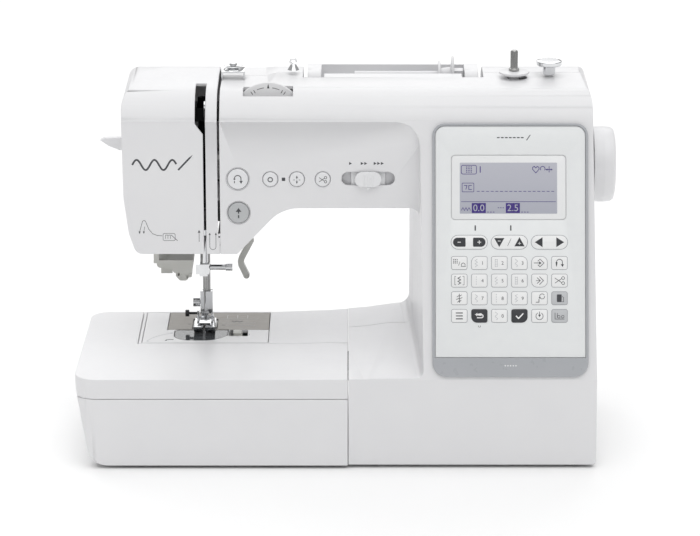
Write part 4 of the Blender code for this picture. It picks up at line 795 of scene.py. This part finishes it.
class MACHINE_OT_arm_controls(bpy.types.Operator):
    """Finish the buttons, the speed slider and the marks printed on the arm and head"""
    bl_idname = "machine.arm_controls"
    bl_label = "Arm controls"

    def execute(self, context):
        names = ("reverse_button", "reinforcement_button", "needle_position_button", "thread_cut_button")
        for node in names:
            dressed(node, "button", sizes().small_edge)
        dressed("start_stop_button", "key_grey", sizes().small_edge)
        soft_edged("speed_slider", "button")
        self.slider_track()
        self.slot_end()
        self.button_symbols()
        self.face_marks()
        return {"FINISHED"}

    def slider_track(self):
        """The light floor behind the slider's slot, and three soft ridges on its knob."""
        x, z, rise = self.centre("speed_slider")
        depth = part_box("speed_slider")[1].y / MM - ARM_FACE_Y + 0.3
        bm = bmesh.new()
        wide, tall, corner = SLIDER_TRACK
        floor = rounded(x - wide / 2, x + wide / 2, z - tall / 2, z + tall / 2, corner)
        add_plate(bm, [floor], -depth - 1.0, -depth, arm_frame())
        # The floor's darker tone is painted shade of the recess.
        finish_piece("slider_track", bm, "housing", "track")
        bm = bmesh.new()
        for shift in (-3.4, 0.0, 3.4):
            ridge = rounded(x + shift - 0.6, x + shift + 0.6, z - 4.2, z + 4.2, 0.5, 3)
            add_plate(bm, [ridge], rise - 0.1, rise + 0.3, arm_frame(), 0.2)
        finish_piece("slider_ridges", bm, "speed_slider", "button")

    def slot_end(self):
        """Closes the lower end of the second thread slot, where the covers are joined."""
        x = SEAM_X - SEAM_GAP / 2
        bm = bmesh.new()
        add_plate(bm, [rounded(x - 0.9, x + 0.9, *SLOT_END, 0)], -3.0, -0.3, arm_frame(), 0.1)
        finish_piece("thread_slot_end", bm, "housing", "shell")
        dots = Printer(arm_frame(), -0.3)
        for z in (165.4, 159.0):
            dots.area(circle(x, z, 0.7, 14))
        dots.piece("thread_slot_dots", "ink")

    def centre(self, node):
        low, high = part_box(node)
        middle = (low + high) / 2
        return middle.x / MM, middle.z / MM, -low.y / MM + ARM_FACE_Y

    def on_button(self, node):
        """Prints on a button's face, about its middle."""
        x, z, rise = self.centre(node)
        return Printer(arm_frame(), rise).at(x, z)

    def button_symbols(self):
        ink = self.on_button("reverse_button")
        ink.strokes(
            0.65, [(-2.5, -2.9), (-2.5, -1.2)],
            [(-2.5, -0.4), (-2.5, 0.6)] + arc(0, 0.6, 2.5, 180, 0, 10) + [(2.5, -1.4)],
        )
        ink.area([(2.5, -3.4), (3.8, -1.2), (1.2, -1.2)])
        ink.piece("reverse_symbol", "ink", body="reverse_button")
        ink = self.on_button("start_stop_button")
        ink.area([(-2.2, 1.0), (2.2, 1.0), (0, 4.0)])
        ink.stroke([(0, -0.4), (0, 1.4)], 0.9)
        ink.stroke([(0, -4.0), (0, -1.6)], 1.0)
        ink.piece("start_symbol", "ink", body="start_stop_button")
        ink = self.on_button("reinforcement_button")
        ink.stroke(circle(0, 0, 1.7, 20), 0.7, True)
        ink.piece("reinforcement_symbol", "ink", body="reinforcement_button")
        ink = self.on_button("needle_position_button")
        ink.area([(-0.8, 1.4), (0.8, 1.4), (0, 3.2)])
        ink.area([(0.8, -1.4), (-0.8, -1.4), (0, -3.2)])
        ink.strokes(0.4, [(0, 0.4), (0, 1.6)], [(0, -1.6), (0, -0.4)])
        for side in (-1, 1):
            ink.stroke([(side * 2.6, -0.2), (side * 1.5, -0.2)][::side], 0.4)
        ink.piece("needle_position_symbol", "ink", body="needle_position_button")
        ink = self.on_button("thread_cut_button")
        ink.strokes(0.4, [(-2.8, 1.7), (1.3, -1.1)], [(-2.8, -1.7), (1.3, 1.1)])
        for side in (1, -1):
            ink.stroke(circle(2.1, side * 1.6, 0.95, 10), 0.38, True)
        ink.piece("thread_cut_symbol", "ink", body="thread_cut_button")

    def face_marks(self):
        ink = Printer(arm_frame(), 0.0)
        ink.area(rounded(-50.1, -47.5, 209.5, 212.1, 0.3, 2))
        for start, count in ((0.8, 1), (9.6, 2), (19.4, 3)):
            for k in range(count):
                x = start + k * 2.7
                ink.area([(x, 222.0), (x + 2.2, 223.2), (x, 224.4)])
        for x, radius, z in ((-83.4, 8.5, 211.0), (-83.0, 8.6, 184.6)):
            ink.stroke(circle(x, z, radius + 0.5, 40), 0.16, True)
        ink.piece("arm_marks", "ink")
        head = Printer(arm_frame(), 0.0)
        self.head_motif(head)
        self.threading_diagram(head)
        head.piece("head_marks", "ink")

    def head_motif(self, head):
        """A needle drawing a wavy thread, in place of a name."""
        wave = [(-163.0 + k * 0.9, 222.0 + 4.0 * math.sin(k * 0.42)) for k in range(38)]
        head.stroke(wave, 1.4)
        head.stroke([(-128.4, 218.0), (-119.5, 227.5)], 1.3)
        head.area([(-119.9, 227.9), (-119.1, 227.1), (-117.2, 229.8)])

    def threading_diagram(self, head):
        """The thread's way: beside the slot, round below it and over to a drawing of the threader."""
        path = [(-158.4, 169.2), (-156.2, 177.2)] + arc(-154.9, 177.0, 1.4, 165, 20, 5)
        path += [(-151.4, 171.6), (-148.4, 168.0), (-145.2, 166.7), (-141.2, 166.3)]
        head.stroke(path, 0.35)
        head.stroke([(-155.2, 169.4), (-154.4, 173.6)], 0.3)
        for x in (-158.4, -155.2):
            head.area([(x - 0.8, 169.8), (x, 167.8), (x + 0.8, 169.8)])
        head.stroke(rounded(-140.6, -131.4, 162.6, 168.2, 1.0, 3), 0.3, True)
        for k in range(3):
            head.stroke([(-138.8 + k * 1.9, 164.0), (-138.8 + k * 1.9, 166.9)], 0.3)
        head.stroke([(-138.8, 166.9), (-135.0, 166.9)], 0.3)
        head.stroke([(-134.4, 167.0), (-129.6, 162.4)], 0.4)
        head.stroke([(-113.2, 161.6), (-113.2, 169.2)], 0.35)
        head.area([(-113.2, 171.0), (-114.2, 168.8), (-112.2, 168.8)])
        middle, half, low = -102.8, 2.35, 157.8
        round_end = arc(middle, low, half, 180, 360, 8)
        head.stroke([(middle - half, 167.4)] + round_end + [(middle + half, 167.4)], 0.32)
        for x in (middle - half, middle + half):
            head.area([(x - 0.8, 167.0), (x + 0.8, 167.0), (x, 168.8)])


class MACHINE_OT_top(bpy.types.Operator):
    """Finish the fittings on the deck: thread guides, spool pin and cap, bobbin winder and tension dial"""
    bl_idname = "machine.top"
    bl_label = "Deck fittings"

    def execute(self, context):
        small = sizes().small_edge
        for node in ("pretension_guide", "thread_guide"):
            dressed(node, "chrome", small)
        for node in ("spool_pin", "spool_cap", "winder_seat"):
            dressed(node, "shell", small)
        dressed("winder_spindle", "ground", small)
        soft_edged("winder_stop", "chrome")
        dressed("tension_dial", "shell", small)
        self.dial_marks()
        return {"FINISHED"}

    def dial_marks(self):
        """A pointer, two arcs and the ends of the scale, printed on the tension dial's face."""
        joint = next(j for j in RECORD["behaviour"]["joints"] if j["name"] == "tension_dial_turn")
        centre, axis = Vector(joint["pos_m"]), Vector(joint["axis"])
        face = max((v.co - centre).dot(axis) for v in frame["nodes"]["tension_dial"].data.vertices)
        turn = axis.to_track_quat("Z", "Y").to_matrix().to_4x4()
        ink = Printer(Matrix.Translation(centre) @ turn, face / MM)
        ink.area([(-0.9, 22.0), (0.9, 22.0), (0.0, 25.6)])
        for start, end in ((98, 112), (68, 82)):
            ink.stroke(arc(0, 0, 22.6, start, end, 6), 0.45)
        for turn_deg in (118, 124, 62, 56):
            ink.stroke([arc(0, 0, radius, turn_deg, turn_deg, 1)[0] for radius in (20.8, 23.4)], 0.5)
        ink.piece("dial_marks", "ink", SLOT_OF["tension_dial"], "tension_dial")


class MACHINE_OT_needle_area(bpy.types.Operator):
    """Finish the needle bar, presser foot, threader and the bed's plates"""
    bl_idname = "machine.needle_area"
    bl_label = "Needle area"

    def execute(self, context):
        small = sizes().small_edge
        for node in ("needle_clamp_screw", "foot_holder", "foot_screw", "presser_foot", "take_up_lever"):
            dressed(node, "chrome", small)
        # Painted shade darkens the bar where it runs inside the head.
        self.shade_bar_inside_head(dressed("needle_bar", "chrome", small, snug=True))
        dressed("foot_level_button", "black", small)
        for node in ("presser_bar", "needle"):
            dressed(node, "ground", small / 2)
        dressed("feed_dog", "ground", small / 2, snug=True)
        soft_edged("presser_lever", "lever")
        for node in ("threader_head", "drop_feed_lever"):
            soft_edged(node, "mechanism_grey", snug=True)
        dressed("buttonhole_lever", "mechanism_grey", small / 2)
        soft_edged("threader_lever", "shell")
        for node in ("power_switch", "power_inlet"):
            dressed(node, "black", small)
        dressed("needle_plate", "plate", small)
        dressed("bobbin_cover", "clear", small)
        dressed("bobbin_cover_latch", "mechanism_grey", small)
        self.plate_marks()
        self.bed_marks()
        self.latch_grip()
        return {"FINISHED"}

    def shade_bar_inside_head(self, bar):
        """The needle bar gets painted shade, a near-black colour, where it runs inside the head, and is plated
        below it.
        """
        bm = bmesh.new()
        bm.from_mesh(bar.data)
        whole = bm.verts[:] + bm.edges[:] + bm.faces[:]
        bmesh.ops.bisect_plane(bm, geom=whole, plane_co=(0, 0, HEAD_Z * MM), plane_no=(0, 0, 1))
        bar.data.materials.append(MATERIALS["bar_painted_shade"])
        for face in bm.faces:
            face.material_index = int(face.calc_center_median().z > HEAD_Z * MM)
        bm.to_mesh(bar.data)
        bm.free()

    def plate_marks(self):
        """Guide lines cut in the needle plate, and the small wave that shows the feed."""
        lines = Printer(Matrix.Identity(4), BED_Z)
        for y, left, right in ((65.0, -101.0, -71.2), (54.3, -100.0, -73.2), (47.7, -96.5, -73.6)):
            lines.stroke([(left, y), (right, y)], 0.4)
        for x in (-96.0, -88.0, -80.0):
            lines.stroke([(x, 66.5), (x, 75.0)], 0.35)
        lines.piece("plate_lines", "stitch_ink", SLOT_OF["needle_plate"])
        marks = Printer(Matrix.Identity(4), BED_Z)
        wave = [(-92.4 + k * 0.55, 58.4 + 1.3 * math.cos(k * math.pi / 4)) for k in range(17)]
        marks.stroke(wave, 1.1)
        marks.stroke([(-99.9, 48.8), (-97.6, 48.8)], 1.0)
        marks.stroke([(-126.8, 51.4), (-124.6, 51.4)], 0.8)
        marks.piece("plate_marks", "ink", SLOT_OF["needle_plate"])

    def bed_marks(self):
        """The thread's way into the bobbin case, printed beside it, and the hook that cuts the thread."""
        lines = Printer(Matrix.Identity(4), BED_Z)
        path = [(-156.0, 9.0), (-153.4, 14.6), (-149.4, 19.8), (-144.4, 24.2), (-138.6, 27.6)]
        lines.stroke(path, 0.5)
        lines.area([(-137.0, 28.6), (-139.6, 28.9), (-138.2, 26.2)])
        lines.area(circle(-156.2, 7.4, 0.9, 14))
        lines.stroke([(-77.4, 22.4), (-77.4, 26.0)], 0.7)
        lines.piece("bed_marks", "stitch_ink", SLOT_OF["needle_plate_cover"])
        hook = Printer(Matrix.Identity(4), BED_Z)
        hook.stroke([(-142.2, 8.2), (-141.4, 10.6), (-139.0, 11.6), (-136.2, 11.0)], 1.2)
        hook.piece("thread_cutter_mark", "ink", SLOT_OF["needle_plate_cover"])

    def latch_grip(self):
        """A raised grip on the cover's latch, with a painted shadow beside it that stands for the fingertip's
        pocket.
        """
        low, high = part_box("bobbin_cover_latch")
        left, right, near, far, top = low.x / MM, high.x / MM, low.y / MM, high.y / MM, high.z / MM
        bm = bmesh.new()
        grip = rounded(left + 3.0, right - 0.6, near + 2.6, far - 2.6, 1.6)
        add_plate(bm, [grip], top - 0.1, top + 0.9, Matrix.Identity(4), 0.3)
        finish_piece("latch_grip", bm, "bobbin_cover_latch", "mechanism_grey")
        # The dark patch is painted shadow, flat on the latch's top.
        pocket = Printer(Matrix.Identity(4), top)
        pocket.area(rounded(left + 0.5, left + 2.8, near + 1.2, far - 1.2, 0.8, 3))
        pocket.piece("latch_painted_shadow", "shadow", SLOT_OF["bobbin_cover_latch"], "bobbin_cover_latch")


class MACHINE_OT_mechanism(bpy.types.Operator):
    """Give the pieces inside and below their metals, rubber and plastics"""
    bl_idname = "machine.mechanism"
    bl_label = "Mechanism"

    FINISHES = {
        # The frame's near-black finish is painted shade for the inside seen through gaps.
        "machine_frame": "cast", "display_board": "board", "drive_motor": "ground", "timing_belt": "rubber",
        "upper_shaft": "ground", "lower_shaft": "ground", "hook_race": "ground",
        "bobbin_case": "black", "bobbin": "bobbin_clear",
        **{f"rubber_foot_{number}": "rubber" for number in (1, 2, 3, 4)},
    }

    def execute(self, context):
        for node, material in self.FINISHES.items():
            repaint(node, material)
        return {"FINISHED"}


class MACHINE_OT_stage(bpy.types.Operator):
    """Set up the pale floor, the soft lights and the camera"""
    bl_idname = "machine.stage"
    bl_label = "Studio"

    def execute(self, context):
        scene = context.scene
        bm = bmesh.new()
        bmesh.ops.create_grid(bm, x_segments=2, y_segments=2, size=6.0)
        mesh = bpy.data.meshes.new("studio_floor")
        bm.to_mesh(mesh)
        bm.free()
        floor = new_object("studio_floor", mesh)
        # White paint with no sheen, so that only a soft shadow shows on it.
        made, surface = begin("floor_painted_white")
        vary(surface, "colour", "FDFDFD", "FBFBFB", 300.0)
        vary(surface, "gloss", 0.75, 0.85, 60.0)
        mesh.materials.append(made)
        self.world(scene)
        for name, (source, strength, spread) in SUNS.items():
            self.sun(name, source, strength, spread)
        self.camera(scene)
        scene.view_settings.view_transform = "Standard"
        return {"FINISHED"}

    def world(self, scene):
        world = bpy.data.worlds.new("studio")
        world.use_nodes = True
        tree = world.node_tree
        tree.nodes.clear()
        sky = add_node(tree, "ShaderNodeBackground", {"Color": linear("FFFFFF"), "Strength": SKY_STRENGTH})
        add_node(tree, "ShaderNodeOutputWorld", {"Surface": sky.outputs["Background"]})
        scene.world = world

    def sun(self, name, source, strength, spread):
        """A very large, even source seen from one side. spread is how wide it looks, in degrees."""
        light = bpy.data.lights.new(name, "SUN")
        light.energy = strength
        light.angle = math.radians(spread)
        obj = new_object(name, light)
        obj.location = source
        obj.rotation_euler = Vector(source).to_track_quat("Z", "Y").to_euler()

    def camera(self, scene):
        camera = bpy.data.cameras.new("camera")
        camera.lens = LENS_MM
        camera.sensor_width = 36.0
        obj = new_object("camera", camera)
        obj.location = CAMERA_PLACE
        obj.rotation_euler = (math.radians(90 - CAMERA_TILT), 0, 0)
        scene.camera = obj


class MACHINE_PT_finish(bpy.types.Panel):
    """The machine's colours, sizes and the steps that finish it"""
    bl_idname = "MACHINE_PT_finish"
    bl_label = "Sewing machine"
    bl_space_type = "VIEW_3D"
    bl_region_type = "UI"
    bl_category = "Sewing machine"

    def draw(self, context):
        layout = self.layout
        for group in (context.scene.machine_colours, context.scene.machine_sizes):
            box = layout.box()
            for key in group.__annotations__:
                box.prop(group, key)
        for operator in OPERATORS:
            layout.operator(operator.bl_idname)


OPERATORS = (
    MACHINE_OT_shells, MACHINE_OT_panel, MACHINE_OT_arm_controls, MACHINE_OT_top, MACHINE_OT_needle_area,
    MACHINE_OT_mechanism, MACHINE_OT_stage,
)
CLASSES = (MachineColours, MachineSizes, *OPERATORS, MACHINE_PT_finish)


def register():
    for cls in CLASSES:
        bpy.utils.register_class(cls)
    bpy.types.Scene.machine_colours = bpy.props.PointerProperty(type=MachineColours)
    bpy.types.Scene.machine_sizes = bpy.props.PointerProperty(type=MachineSizes)


def unregister():
    del bpy.types.Scene.machine_sizes
    del bpy.types.Scene.machine_colours
    for cls in reversed(CLASSES):
        bpy.utils.unregister_class(cls)


def main():
    register()
    make_materials()
    bpy.ops.machine.shells()
    bpy.ops.machine.panel()
    bpy.ops.machine.arm_controls()
    bpy.ops.machine.top()
    bpy.ops.machine.needle_area()
    bpy.ops.machine.mechanism()
    bpy.ops.machine.stage()


if __name__ == "__main__":
    main()
